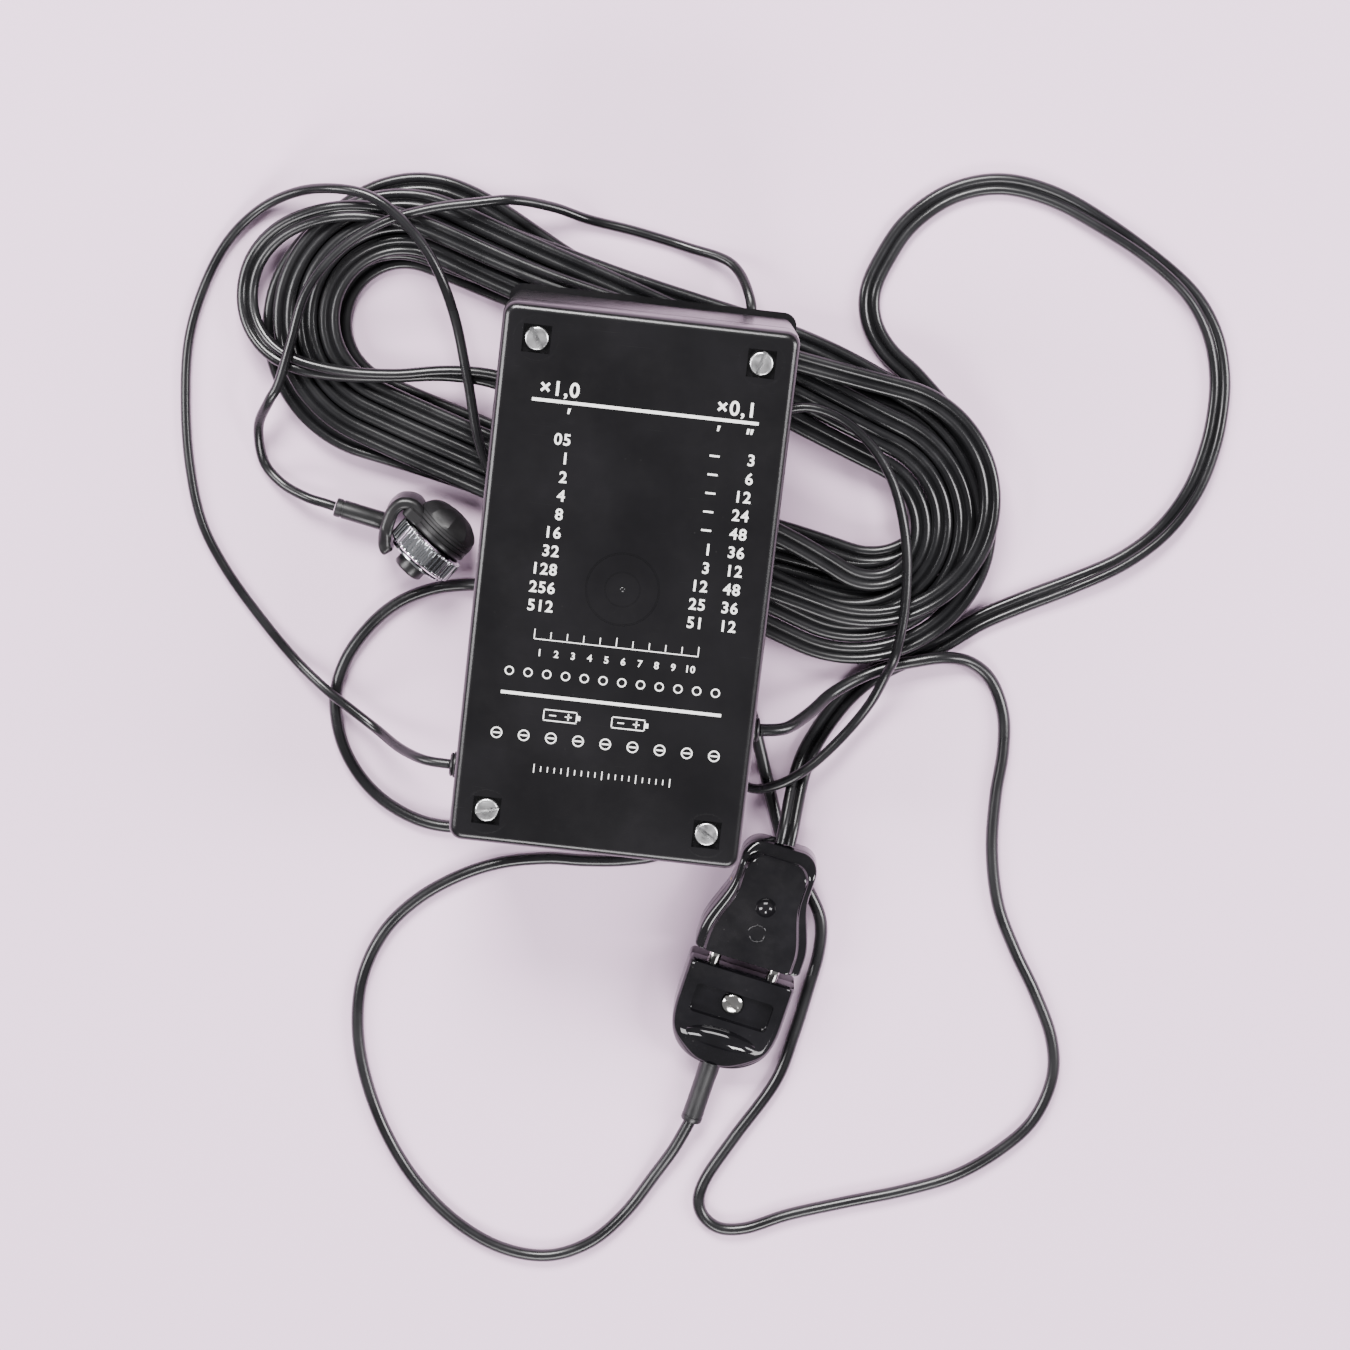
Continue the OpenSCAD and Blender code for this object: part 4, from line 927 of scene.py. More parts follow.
def box_surface(centre, size):
    """A plain block, for cutters and printed bars."""
    signs = np.array([[x, y, z] for z in (-1, 1) for x, y in ((-1, -1), (1, -1), (1, 1), (-1, 1))])
    quads = [[0, 3, 2, 1], [4, 5, 6, 7], [0, 1, 5, 4], [1, 2, 6, 5], [2, 3, 7, 6], [3, 0, 4, 7]]
    return np.array(centre) + signs * np.array(size) / 2, [np.array(quads)]


def moved(surface, x=0.0, y=0.0, z=0.0):
    """A surface shifted along the axes."""
    points, faces = surface
    return points + [x, y, z], faces


def rod(radius, low, high, sides=48):
    """A plain round rod, used only to cut with."""
    return lathe([(0, low), (radius, low), (radius, high), (0, high)], sides)


def ring_ridge(r_in, r_out, height):
    """A low raised ring with rounded shoulders, its foot sunk into the face."""
    w = r_out - r_in
    profile = [(r_in, -0.2), (r_in, 0.2 * height), (r_in + 0.2 * w, 0.85 * height), (r_in + 0.4 * w, height),
               (r_out - 0.4 * w, height), (r_out - 0.2 * w, 0.85 * height), (r_out, 0.2 * height), (r_out, -0.2)]
    points, _ = lathe(profile, 72)
    return points, [grid_faces(len(profile), 72, wrap_rows=True)]


SCREW_SITES = [(sx * SCREW_DX / 2, sy * SCREW_DY / 2) for sx in (-1, 1) for sy in (-1, 1)]


class TIMER_OT_case(bpy.types.Operator):
    """Builds the case: a filleted base cover with screw pockets, its moulding marks, and the deep body"""

    bl_idname = "timer.case"
    bl_label = "Case"

    def execute(self, context):
        case = context.scene.timer_case
        seam = [(0.35, SPLIT_Z + 0.04), (0.05, SPLIT_Z + 0.35), (0.0, SPLIT_Z + 0.7)]
        rim = quarter_round(case.fillet, CASE_TOP - case.fillet, 9)
        inner = [(0.0, CASE_TOP - WALL), (0.0, SPLIT_Z + 0.04)]
        cover = piece("base_cover_moulded", case_shell(seam + rim, inner, WALL, case.corner), finish("case"), "case")
        carve(cover, joined([box_surface((x, y, CASE_TOP - POCKET_DEPTH + 1.5), (POCKET_W, POCKET_W, 3.0))
                             for x, y in SCREW_SITES]))
        carve(cover, joined([moved(rod(2.2, SPLIT_Z - 1, CASE_TOP), x, y) for x, y in SCREW_SITES]))
        grooves = joined([tube(10.3, 10.9, CASE_TOP - 0.2, CASE_TOP + 1, 96),
                          tube(4.9, 5.3, CASE_TOP - 0.12, CASE_TOP + 1, 72)])
        carve(cover, grooves)
        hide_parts("base_cover")

        marks = [moved(ring_ridge(6.2, 6.85, 0.035), x, y, CASE_TOP) for x, y in SCREW_SITES]
        marks.append(moved(lathe([(0, -0.2), (0.7, -0.2), (0.7, 0.1), (0.45, 0.22), (0, 0.25)], 24), z=CASE_TOP))
        piece("cover_marks", joined(marks), finish("case"), "case")

        foot = [(1.8 * (1 - math.cos(a)), CASE_Z + 1.8 * (1 - math.sin(a))) for a in np.linspace(0, math.pi / 2, 7)]
        side = foot + [(0.05, SPLIT_Z - 0.35), (0.35, SPLIT_Z - 0.04)]
        shell = case_shell(side[::-1], [(0.0, CASE_Z + WALL), (0.0, SPLIT_Z - 0.04)], WALL, case.corner)
        body = piece("case_body_moulded", shell, finish("case"), "case")
        holes = [moved(rod(4.8, CASE_Z - 1, CASE_Z + 4), 0, KNOB_Y),
                 box_surface((15, -70, CASE_Z + 1.2), (8.6, 6.6, 5)),
                 box_surface((-15, -70, CASE_Z + 1.2), (8.6, 6.6, 5)),
                 moved(rod(6.1, CASE_Z - 1, CASE_Z + 4), -28, -13),
                 moved(rod(4.1, CASE_Z - 1, CASE_Z + 4), 13, -13)]
        for x, y in ((-CASE_W / 2 - 1, -67.0), (CASE_W / 2 - 4, -46.0)):
            holes.append(moved(along_x(rod(3.5, 0, 5), 0), x, y, CASE_Z + 7.5))
        carve(body, joined(holes))
        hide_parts("case_body")
        bosses = [moved(tube(2.95, 4.5, CASE_Z + WALL - 0.2, SPLIT_Z - 0.3), x, y) for x, y in SCREW_SITES]
        for x in (-31, 31):
            for y in (-55, 25):
                bosses.append(moved(tube(1.25, 3.0, CASE_Z + WALL - 0.2, CASE_Z + 24.9), x, y))
        piece("case_bosses", joined(bosses), finish("case"), "case")
        return {"FINISHED"}


def tube(r_in, r_out, low, high, sides=48):
    """A plain tube with its open bore."""
    points, _ = lathe([(r_in, low), (r_out, low), (r_out, high), (r_in, high)], sides)
    return points, [grid_faces(4, sides, wrap_rows=True)]


class TIMER_OT_base_screws(bpy.types.Operator):
    """Builds the four slotted cheese-head screws in the base cover's pockets"""

    bl_idname = "timer.base_screws"
    bl_label = "Base Screws"

    def execute(self, context):
        z = CASE_TOP - POCKET_DEPTH
        profile = [(0, -16), (1.4, -16), (1.9, -15), (1.9, 0), (3.15, 0), (3.4, 0.15), (3.5, 0.4), (3.5, 1.6),
                   (3.42, 1.85), (3.2, 2.05), (2.85, 2.12), (1.2, 2.14), (0, 2.14)]
        slot = box_surface((0, 0, 1.8), (9, 1.35, 2.2))
        heads, slots = [], []
        for (x, y), turn in zip(SCREW_SITES, (14, 123, 148, 76)):
            heads.append(moved(lathe(profile, 64), x, y, z))
            slots.append(moved(spun(slot, "Z", math.radians(turn)), x, y, z))
        screws = carve(piece("base_screws_slotted", joined(heads), finish("zinc"), "case"), joined(slots))
        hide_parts("base_screws")
        return {"FINISHED"}


# ---------------------------------------------------------------- print

def lettering(text, cap, x, y, align="CENTER", weight=0.0):
    """Numerals as a thin closed surface on the plane z = 0, centred on y, in millimetres."""
    curve = bpy.data.curves.new("lettering", "FONT")
    curve.body = text
    curve.align_x = align
    curve.size = 1.0
    curve.offset = weight
    curve.extrude = 0.02
    curve.resolution_u = 5
    curve.space_character = 1.12
    obj = bpy.data.objects.new("lettering", curve)
    bpy.context.scene.collection.objects.link(obj)
    bpy.context.view_layer.update()
    mesh = bpy.data.meshes.new_from_object(obj.evaluated_get(bpy.context.evaluated_depsgraph_get()))
    bpy.data.objects.remove(obj)
    bpy.data.curves.remove(curve)
    points = np.empty(len(mesh.vertices) * 3)
    mesh.vertices.foreach_get("co", points)
    points = points.reshape(-1, 3)
    starts = np.empty(len(mesh.polygons), np.int32)
    totals = np.empty(len(mesh.polygons), np.int32)
    corners = np.empty(len(mesh.loops), np.int32)
    mesh.polygons.foreach_get("loop_start", starts)
    mesh.polygons.foreach_get("loop_total", totals)
    mesh.loops.foreach_get("vertex_index", corners)
    bpy.data.meshes.remove(mesh)
    faces = [corners[starts[totals == n][:, None] + np.arange(n)] for n in np.unique(totals)]
    cap_units = 0.729
    scale = cap / cap_units
    points = points * [scale, scale, 1.0]
    middle = 0.5 * (cap if text.strip("-") else 0.0)
    return points + [x, y - middle, 0.0], faces


def bar(x0, x1, y, thick):
    """A printed rule as a thin block on the plane z = 0."""
    return box_surface(((x0 + x1) / 2, y, 0), (x1 - x0, thick, 0.04))


def printed_circle(x, y, r, line):
    """A printed ring as a thin closed band on the plane z = 0."""
    return moved(tube(r - line / 2, r + line / 2, -0.02, 0.02, 40), x, y)


class TIMER_OT_base_print(bpy.types.Operator):
    """Prints the table of times and plain pictograms on the base face"""

    bl_idname = "timer.base_print"
    bl_label = "Base Print"

    def execute(self, context):
        parts = [bar(-32, 33.7, 52.6, 0.95), bar(-32, 32.7, -34.0, 0.95)]
        for text, cap, x, y, weight in (("\u00d71,0", 4.3, -24.4, 56.5, 0.02), ("\u00d70,1", 4.3, 26.9, 56.5, 0.02),
                                        ("\u2032", 3.6, 22.4, 48.9, 0.03), ("\u2033", 3.6, 31.5, 48.9, 0.03),
                                        ("\u2032", 3.6, -21.0, 49.0, 0.03)):
            parts.append(lettering(text, cap, x, y, weight=weight))
        left = ("05", "1", "2", "4", "8", "16", "32", "128", "256", "512")
        minutes = ("", "", "", "", "", "1", "3", "12", "25", "51")
        seconds = ("3", "6", "12", "24", "48", "36", "12", "48", "36", "12")
        for row in range(10):
            y = 41.9 - 5.467 * row
            parts.append(lettering(left[row], 3.4, -19.5, y, "RIGHT", 0.02))
            parts.append(lettering(seconds[row], 3.4, 34.0, y, "RIGHT", 0.02))
            if minutes[row]:
                parts.append(lettering(minutes[row], 3.4, 24.5, y, "RIGHT", 0.02))
            else:
                parts.append(bar(20.7, 23.6, y, 0.55))
        for k in range(11):
            parts.append(bar(-24.15 + 4.8 * k, -23.85 + 4.8 * k, -15.9, 3.0 if k % 5 == 0 else 2.0))
        parts.append(bar(-24.0, 24.0, -17.3, 0.3))
        for k in range(10):
            parts.append(lettering(str(k + 1), 2.1, -22.0 + 4.9 * k, -21.2, weight=0.02))
        for k in range(12):
            parts.append(printed_circle(-30.2 + 5.5 * k, -27.5, 1.15, 0.4))
        parts += pictogram_row()
        points, faces = joined(parts)
        piece("base_print", (points + [0, 0, CASE_TOP + PRINT_LIFT], faces), finish("print"), "case")
        return {"FINISHED"}


def pictogram_row():
    """Plain pictograms: two batteries with their poles, a row of slotted screw heads, and a tick scale."""
    outline = [(-5, 5, -37.9, 0.35), (-5, 5, -41.1, 0.35), (-5, -4.65, -39.5, 3.5), (4.65, 5, -39.5, 3.5)]
    poles = [(5, 5.9, -39.5, 1.4), (-3.2, -1.2, -39.5, 0.35), (1.4, 3.4, -39.5, 0.35), (2.2, 2.6, -39.5, 2.0)]
    parts = []
    for x in (-14, 6):
        parts += [bar(x + low, x + high, y, thick) for low, high, y, thick in outline + poles]
    for k in range(9):
        x = -32 + 8.0 * k
        parts += [printed_circle(x, -46.3, 1.5, 0.4), bar(x - 1.1, x + 1.1, -46.3, 0.45)]
    for k in range(21):
        parts.append(bar(-20.15 + 2.0 * k, -19.85 + 2.0 * k, -55.8, 2.6 if k % 5 == 0 else 1.6))
    return parts


# ---------------------------------------------------------------- controls

class TIMER_OT_controls(bpy.types.Operator):
    """Builds the fluted selector knob with its spun cap, and prints the controls' plain scale"""

    bl_idname = "timer.controls"
    bl_label = "Controls"

    def execute(self, context):
        top = KNOB_HIGH[2]
        r = (KNOB_HIGH[0] - KNOB_LOW[0]) / 2
        profile = np.array([
            (5.02, 3.4), (5.02, top - 4.6), (9.5, top - 4.6), (9.5, top), (r - 0.6, top), (r, top - 0.6),
            (r, top - 2.4), (r - 0.4, top - 2.8), (r - 0.4, 3.6), (r - 0.9, 2.6), (r - 1.8, 1.0), (r - 2.6, 0.3),
            (r - 3.8, 0.0), (10.0, 0.0), (10.0, 1.2), (7.0, 1.25), (5.4, 3.2)])
        fluted = np.array([0, 0, 0, 0, 0, 0, 0, 0.7, 1, 1, 0.8, 0.4, 0, 0, 0, 0, 0])
        sides = 432
        angle = np.linspace(0, 2 * np.pi, sides, endpoint=False)
        flute = np.clip(np.cos(18 * angle), 0, 1) ** 0.7
        radius = profile[:, :1] - 0.95 * fluted[:, None] * flute
        points = np.stack([radius * np.cos(angle), radius * np.sin(angle), profile[:, 1:] + 0 * angle], -1)
        knob = piece("knob_fluted", moved((points.reshape(-1, 3), [grid_faces(len(profile), sides, True)]), y=KNOB_Y),
                     finish("head"), "selector")
        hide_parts("selector_knob")

        rings = [(0, 1.15), (9.85, 1.15), (9.95, 1.0), (9.95, 0.45), (9.75, 0.3), (9.0, 0.3), (8.8, 0.38), (8.6, 0.3)]
        rings += [(8.4 - 0.2 * k, 0.3 + 0.02 * (k % 2) + 0.0015 * k) for k in range(41)] + [(0, 0.36)]
        cap = piece("knob_cap_spun", moved(lathe(rings, 96), y=KNOB_Y), finish("chrome"), "selector")
        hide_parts("knob_cap")

        panel_z = CASE_Z - 0.5
        marks = []
        for k in range(10):
            a = math.radians(-135 + 30 * k)
            marks.append(moved(spun(box_surface((0, 19.6, 0), (0.45, 2.0, 0.04)), "Z", -a), y=-KNOB_Y))
            marks.append(lettering(str(k), 3.0, 24.2 * math.sin(a), 24.2 * math.cos(a) - KNOB_Y, weight=0.02))
        points, faces = joined(marks)
        piece("panel_print", (points * [1, -1, -1] + [0, 0, panel_z - PRINT_LIFT], faces), finish("boot"), "case")
        pointer = box_surface((0, KNOB_Y + 12.2, 0.0), (0.7, 3.4, 0.2))
        piece("knob_pointer", pointer, finish("print"), "selector")
        return {"FINISHED"}


# ---------------------------------------------------------------- plug and coupling

def bent_down(points, start, end, drop, toward):
    """Lowers the upper half of a moulding between two places along Y, most at the top: the sloping cable end."""
    y = points[:, 1] * toward
    lift = np.clip((points[:, 2] - PIN_Z) / (14.0 - PIN_Z), 0, 1)
    out = points.copy()
    out[:, 2] -= drop * smoothstep(y, start, end) * lift
    return out


def mirrored_loop(half_width, low, high, inset, ends, count=72):
    """A closed outline symmetric about the Y axis, its half width a function of the place along Y.

    Places are spaced by (1 - cos) / 2, close together at both ends. An inset narrows it, and shortens it at each
    end by its own share of the inset."""
    t = (1 - np.cos(np.pi * np.linspace(0, 1, count))) / 2
    x = half_width(low + (high - low) * t)
    x = x * (1 - inset / x.max())
    y = low + inset * ends[0] + (high - low - inset * sum(ends)) * t
    return np.vstack([np.column_stack([x, y]), np.column_stack([-x, y])[::-1]])


def corner_cut(distance, radius):
    """How far a corner of that radius draws the side in, at a distance from the end: r - sqrt(r^2 - (r - d)^2)."""
    d = np.clip(distance, 0, radius)
    return radius - np.sqrt(np.maximum(radius**2 - (radius - d) ** 2, 0))


def plug_loop(width):
    """The plug's plan: straight sides, small corners at its face, and a superellipse round the cable end."""
    def half(y):
        back = np.clip((-13.0 - y) / (PLUG_L - 13.0), 0, 1)
        return width / 2 * (1 - back**2.4) ** (1 / 2.4) - corner_cut(-y, 1.3)
    return lambda inset: mirrored_loop(half, -PLUG_L, 0.0, inset, (1, 0.1))


def coupling_loop(width, gap, length=38.0, rear=24.0):
    """The coupling's plan: full width at its face, drawn in along a soft S to its narrower, round cable end."""
    def half(y):
        along = smoothstep(y - gap, 5.5, 26.0)
        side = width / 2 + (rear / 2 - width / 2) * along
        return side - corner_cut(y - gap, 1.3) - corner_cut(gap + length - y, 6.0)
    return lambda inset: mirrored_loop(half, gap, gap + length, inset, (0.1, 1))


def ball(centre, radii):
    """An ellipsoid, used only to cut with: a half circle (cos a, sin a) turned about Z and scaled by its radii."""
    a = np.linspace(-math.pi / 2, math.pi / 2, 25)
    points, faces = lathe(np.stack([np.cos(a), np.sin(a)], -1), 64)
    return points * radii + centre, faces


def soft_block(centre, size, corner, depth_z, round_foot):
    """A cutter with rounded corners and a rounded foot, its foot at depth_z."""
    x, y = size[0] / 2, size[1] / 2
    loop = rounded_outline([(x, y), (-x, y), (-x, -y), (x, -y)], corner, 0.35) + np.array(centre)
    foot = [(round_foot * (1 - math.sin(a)), depth_z + round_foot * (1 - math.cos(a)))
            for a in np.linspace(0, math.pi / 2, 6)]
    return stacked(loop, foot + [(0.0, depth_z + 6.0)])


FOOT_LEVELS = [(1.6, 0.0), (0.9, 0.15), (0.3, 0.6), (0.0, 1.4)]


class TIMER_OT_plug(bpy.types.Operator):
    """Builds the two-pin plug: its halves, recessed screw, split pins and cable sleeve"""

    bl_idname = "timer.plug"
    bl_label = "Plug"

    def execute(self, context):
        plug = context.scene.timer_plug
        loop = plug_loop(plug.width)
        lower = stacked(loop, FOOT_LEVELS + [(0.0, PIN_Z - 0.25), (0.22, PIN_Z - 0.02)])
        base = piece("plug_lower_half", in_pair(lower), finish("plug"), "case")
        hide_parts("plug_base")
        levels = [(0.22, PIN_Z + 0.02), (0.0, PIN_Z + 0.25)] + quarter_round(2.6, plug.thickness - 2.6, 10)
        upper = stacked(loop, levels, 40, (0, -14))
        upper = (bent_down(upper[0], 22.0, 35.0, 4.6, -1), upper[1])
        cover = piece("plug_upper_half", in_pair(upper), finish("plug"), "case")
        for cutter in (soft_block((0, -11.4), (25, 9.6), 1.5, plug.thickness - 2.3, 0.5),
                       ball((0, -22.6, 17.6), (13.5, 4.6, 6.6)), moved(rod(3.6, 0, 12, 48), 0, SCREW_Y, 11.2)):
            carve(cover, in_pair(cutter))
        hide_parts("plug_cover")

        profile = [(0, -8), (1.4, -8), (1.4, 0), (3.0, 0), (3.25, 0.3), (3.25, 1.0), (2.9, 1.35), (2.0, 1.6),
                   (0, 1.75)]
        head = moved(lathe(profile, 56), 0, SCREW_Y, plug.thickness - 2.2)
        slot = spun(box_surface((0, 0, 1.6), (9, 1.15, 1.8)), "Z", math.radians(149))
        slot = moved(slot, 0, SCREW_Y, plug.thickness - 2.2)
        screw = piece("plug_screw_slotted", in_pair(head), finish("nickel"), "case")
        carve(screw, in_pair(slot))
        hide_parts("plug_screw")

        pin = lathe([(0, 0), (1.98, 0), (1.98, 23.6), (1.75, 24.4), (1.2, 24.9), (0, 25.0)], 40)
        pin = spun(pin, "X", -math.pi / 2)
        slits = [moved(box_surface((0, 18, 0), (0.6, 15, 6)), s * plug.pitch / 2, -6, PIN_Z) for s in (-1, 1)]
        pins = joined([moved(pin, s * plug.pitch / 2, -6, PIN_Z) for s in (-1, 1)])
        pair = piece("split_pins", in_pair(pins), finish("nickel"), "case")
        slits = joined(slits)
        carve(pair, in_pair(slits))
        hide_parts("plug_pins")

        rows = [(0, 0), (3.35, 0), (3.35, 3.0), (3.22, 6.0), (3.2, 15.0), (3.28, 18.6), (3.1, 18.75), (3.1, 19.15),
                (3.35, 19.3), (3.35, 20.5), (3.15, 20.9), (2.4, 21.0), (2.1, 20.6), (0, 20.6)]
        sleeve = lathe(rows, 40)
        sleeve = moved(spun(sleeve, "X", math.pi / 2), 0, -PLUG_L + 1, PIN_Z)
        cable = piece("plug_sleeve_turned", in_pair(sleeve), finish("boot"), "case")
        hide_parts("plug_sleeve")
        return {"FINISHED"}


class TIMER_OT_coupling(bpy.types.Operator):
    """Builds the coupling that the plug's pins enter: its halves with a stepped, bevelled top"""

    bl_idname = "timer.coupling"
    bl_label = "Coupling"

    def execute(self, context):
        plug = context.scene.timer_plug
        loop = coupling_loop(plug.width, plug.gap)
        bore = spun(rod(3.02, -2, 22, 40), "X", -math.pi / 2)
        bores = joined([moved(bore, s * plug.pitch / 2, plug.gap, PIN_Z) for s in (-1, 1)])
        lower = stacked(loop, FOOT_LEVELS + [(0.0, PIN_Z - 0.25), (0.22, PIN_Z - 0.02)])
        base = piece("coupling_lower_half", in_pair(lower), finish("plug"), "case")
        carve(base, in_pair(bores))
        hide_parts("coupling_base")
        levels = [(0.22, PIN_Z + 0.02), (0.0, PIN_Z + 0.25)] + quarter_round(1.3, 10.9, 7)
        levels += [(2.0, 12.22), (2.4, 12.35), (2.9, 12.8), (3.3, 13.5), (3.55, 13.85), (4.0, 14.0)]
        upper = stacked(loop, levels, 40, (0, plug.gap + 15))
        upper = (bent_down(upper[0], 34.0, 43.0, 4.2, 1), upper[1])
        cover = piece("coupling_upper_half", in_pair(upper), finish("plug"), "case")
        bowl = ball((0, 23.1, 15.4), (3.5, 3.5, 3.5))
        for cutter in (bores, bowl):
            carve(cover, in_pair(cutter))
        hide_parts("coupling_cover")
        ring = moved(ring_ridge(2.45, 2.85, 0.08), 0, 14.3, 14.0)
        piece("coupling_ring_mark", in_pair(ring), finish("plug"), "case")
        return {"FINISHED"}


# ---------------------------------------------------------------- release head

def faceted(points, sides, start, full):
    """Flattens a round dome into facets above a height: each point moves in to the chord, r cos(h) / cos(b)."""
    half = math.pi / sides
    angle = np.arctan2(points[:, 1], points[:, 0])
    bearing = (angle + half) % (2 * half) - half
    chord = 1 + smoothstep(points[:, 2], start, full) * (0.985 * math.cos(half) / np.cos(bearing) ** 1.3 - 1)
    return points * np.column_stack([chord, chord, np.ones(len(points))])


class TIMER_OT_release_head(bpy.types.Operator):
    """Builds the release head: knurled locking ring, flange, stub, domed cap, guard arm and cable sleeve"""

    bl_idname = "timer.release_head"
    bl_label = "Release Head"

    def execute(self, context):
        head = context.scene.timer_head
        r, w = head.ring_d / 2, head.ring_w / 2
        profile = np.array([(3.56, -w + 0.3), (3.9, -w), (r - 1.5, -w), (r - 0.75, -w + 0.12), (r - 0.15, -w + 0.6),
                            (r - 0.15, -w + 0.95), (r, -w + 1.25), (r, w - 1.25), (r - 0.15, w - 0.95),
                            (r - 0.15, w - 0.6), (r - 0.75, w - 0.12), (r - 1.5, w), (3.9, w), (3.56, w - 0.3)])
        cut = np.array([0, 0, 0, 0, 0, 0.2, 1, 1, 0.2, 0, 0, 0, 0, 0])
        sides = head.knurls * 12
        angle = np.linspace(0, 2 * np.pi, sides, endpoint=False)
        knurl = smoothstep(np.cos(head.knurls * angle), -0.35, 0.55)
        radius = profile[:, :1] - 0.8 * cut[:, None] * knurl
        grid = np.stack([profile[:, 1:] + 0 * angle, radius * np.cos(angle), radius * np.sin(angle)], -1)
        ring = piece("knurled_ring", (to_head(grid.reshape(-1, 3)), [grid_faces(len(profile), sides, True)]),
                     finish("chrome"), "ring", sharp=25)
        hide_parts("lock_ring")

        rows = [(3.55, 0), (8.6, 0), (9.1, 0.12), (9.25, 0.42), (9.1, 0.75), (8.6, 0.87), (3.55, 0.87)]
        flange, _ = lathe(rows, 96)
        flange = along_x((flange, [grid_faces(len(rows), 96, True)]), -w - 1.32)
        washer = piece("ring_flange", in_head(flange), finish("chrome"), "case")
        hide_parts("ring_washer")

        stub = along_x(lathe([(0, 0), (3.9, 0), (4.5, 0.3), (4.8, 0.8), (4.8, 3.98), (3.45, 4.0), (3.45, 4.9),
                              (0, 4.9)], 64), -w - 5.4)
        insert = piece("head_stub_turned", in_head(stub), finish("head"), "case")
        bores = joined([moved(along_x(rod(0.8, -2, 3.5, 20), -w - 5.4), 0, s, 0) for s in (-2.2, 2.2)])
        carve(insert, in_head(bores))
        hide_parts("head_insert")

        a = np.linspace(0, math.pi / 2, 12)
        rows = [(0, w + 3.8), (9.9, w + 3.8), (10.3, w + 4.1), (10.3, w + 4.9), (10.1, w + 5.0), (10.1, w + 5.2),
                (10.25, w + 5.3), (10.2, w + 5.9), (9.95, w + 6.0), (9.95, w + 6.2)]
        rows += [(0.6 + 9.5 * math.cos(t) ** 0.95, w + 6.2 + 5.0 * math.sin(t)) for t in a[1:]]
        rows += [(0.5, w + 11.25), (0, w + 11.3)]
        dome = lathe(rows, 120)
        dome = along_x((faceted(dome[0], 9, w + 5.9, w + 7.4), dome[1]), 0)
        cap = piece("head_dome", in_head(dome), finish("dome"), "case", sharp=16)
        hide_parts("head_cap")

        disc = along_x(lathe([(0, 0), (9.4, 0), (9.9, 0.3), (10.2, 0.8), (10.2, 1.9), (9.95, 2.0), (9.95, 2.3),
                              (10.2, 2.4), (10.2, 3.38), (0, 3.38)], 72), w + 0.37)
        neck = along_x(tube(1.5, 3.42, 0, 2 * w + 1.2, 40), -w - 0.55)
        hook = smooth_route([(w + 3.3, 8.0, -1), (w + 4.4, 11.6, -1), (w + 2.5, 14.8, -1), (3.0, 15.5, -1),
                             (-1.0, 14.2, -1), (-4.6, 12.3, -1), (-7.3, 10.0, -1), (-8.2, 7.6, -1)], 10)
        wall = rounded_outline([(1.95, 7.4), (-1.95, 7.4), (-1.95, -7.6), (1.95, -7.6)], 1.6, 0.3)
        arm, arm_faces = sweep(hook, wall)
        taper = smoothstep(-arm[:, 0], 3.0, 8.0)
        arm[:, 2] = -1 + (arm[:, 2] + 1) * (1 - 0.25 * taper)
        left = np.linalg.norm(np.diff(hook, axis=0), axis=1)[::-1].cumsum()[::-1]
        left = np.clip(np.append(left, 0) / 1.5, 0, 1)
        shrink = np.repeat(0.5 + 0.5 * np.sqrt(1 - (1 - left) ** 2), len(wall))[:, None]
        middle = np.repeat(hook, len(wall), axis=0)
        arm = middle + (arm - middle) * shrink
        link = rounded_outline([(13.0, 7.0), (4.0, 7.0), (4.0, -9.0), (13.0, -9.0)], [1.5, 0.5, 0.5, 1.5], 0.4)
        link, link_faces = stacked(link, [(0.3, 0), (0, 0.4), (0, 3.0), (0.3, 3.38)])
        link = np.column_stack([w + 0.37 + link[:, 2], link[:, 0], link[:, 1]])
        surface = joined([disc, neck, (arm, arm_faces), (link, link_faces)])
        guard = piece("head_guard", in_head(surface), finish("head"), "case")
        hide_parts("head_body")

        rows = [(0, 0), (2.75, 0), (2.9, 0.3), (2.9, 13.9), (2.7, 14.0), (2.7, 14.5), (2.9, 14.6), (2.9, 16.1),
                (2.65, 16.45), (1.9, 16.5), (1.7, 16.2), (0, 16.2)]
        sleeve = along_x(lathe(rows, 36), 0)
        sleeve = (turned(sleeve[0], "Z", SLEEVE_TURN) + SLEEVE_AT, sleeve[1])
        cable = piece("release_sleeve_turned", sleeve, finish("boot"), "case")
        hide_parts("release_sleeve")
        return {"FINISHED"}


# ---------------------------------------------------------------- grommets and jack

class TIMER_OT_grommets(bpy.types.Operator):
    """Turns the two rubber grommets where the cords leave the case's sides"""

    bl_idname = "timer.grommets"
    bl_label = "Grommets"

    def execute(self, context):
        cords = context.scene.timer_cords
        for name, side, y, d in (("release", -1, -67.0, cords.release_d), ("plug", 1, -46.0, cords.plug_d)):
            bore = d / 2 + 0.05
            rows = [(bore, -4.0), (4.2, -4.0), (4.5, -3.7), (4.5, -2.8), (3.45, -2.5), (3.45, 0.0), (4.5, 0.05),
                    (4.55, 0.5), (4.2, 0.8), (3.6, 0.95), (4.0, 1.3), (3.95, 1.7), (3.4, 1.95), (3.7, 2.3),
                    (3.5, 2.7), (2.9, 2.98), (bore + 0.2, 2.98), (bore, 2.8)]
            points, _ = lathe(rows, 48)
            surface = along_x((points, [grid_faces(len(rows), 48, True)]), 0)
            points = turned(surface[0], "Z", 0 if side > 0 else math.pi) + [side * CASE_W / 2, y, CASE_Z + 7.5]
            grommet = piece(name + "_grommet_turned", (points, surface[1]), finish("boot"), "case")
            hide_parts(name + "_grommet")
        return {"FINISHED"}


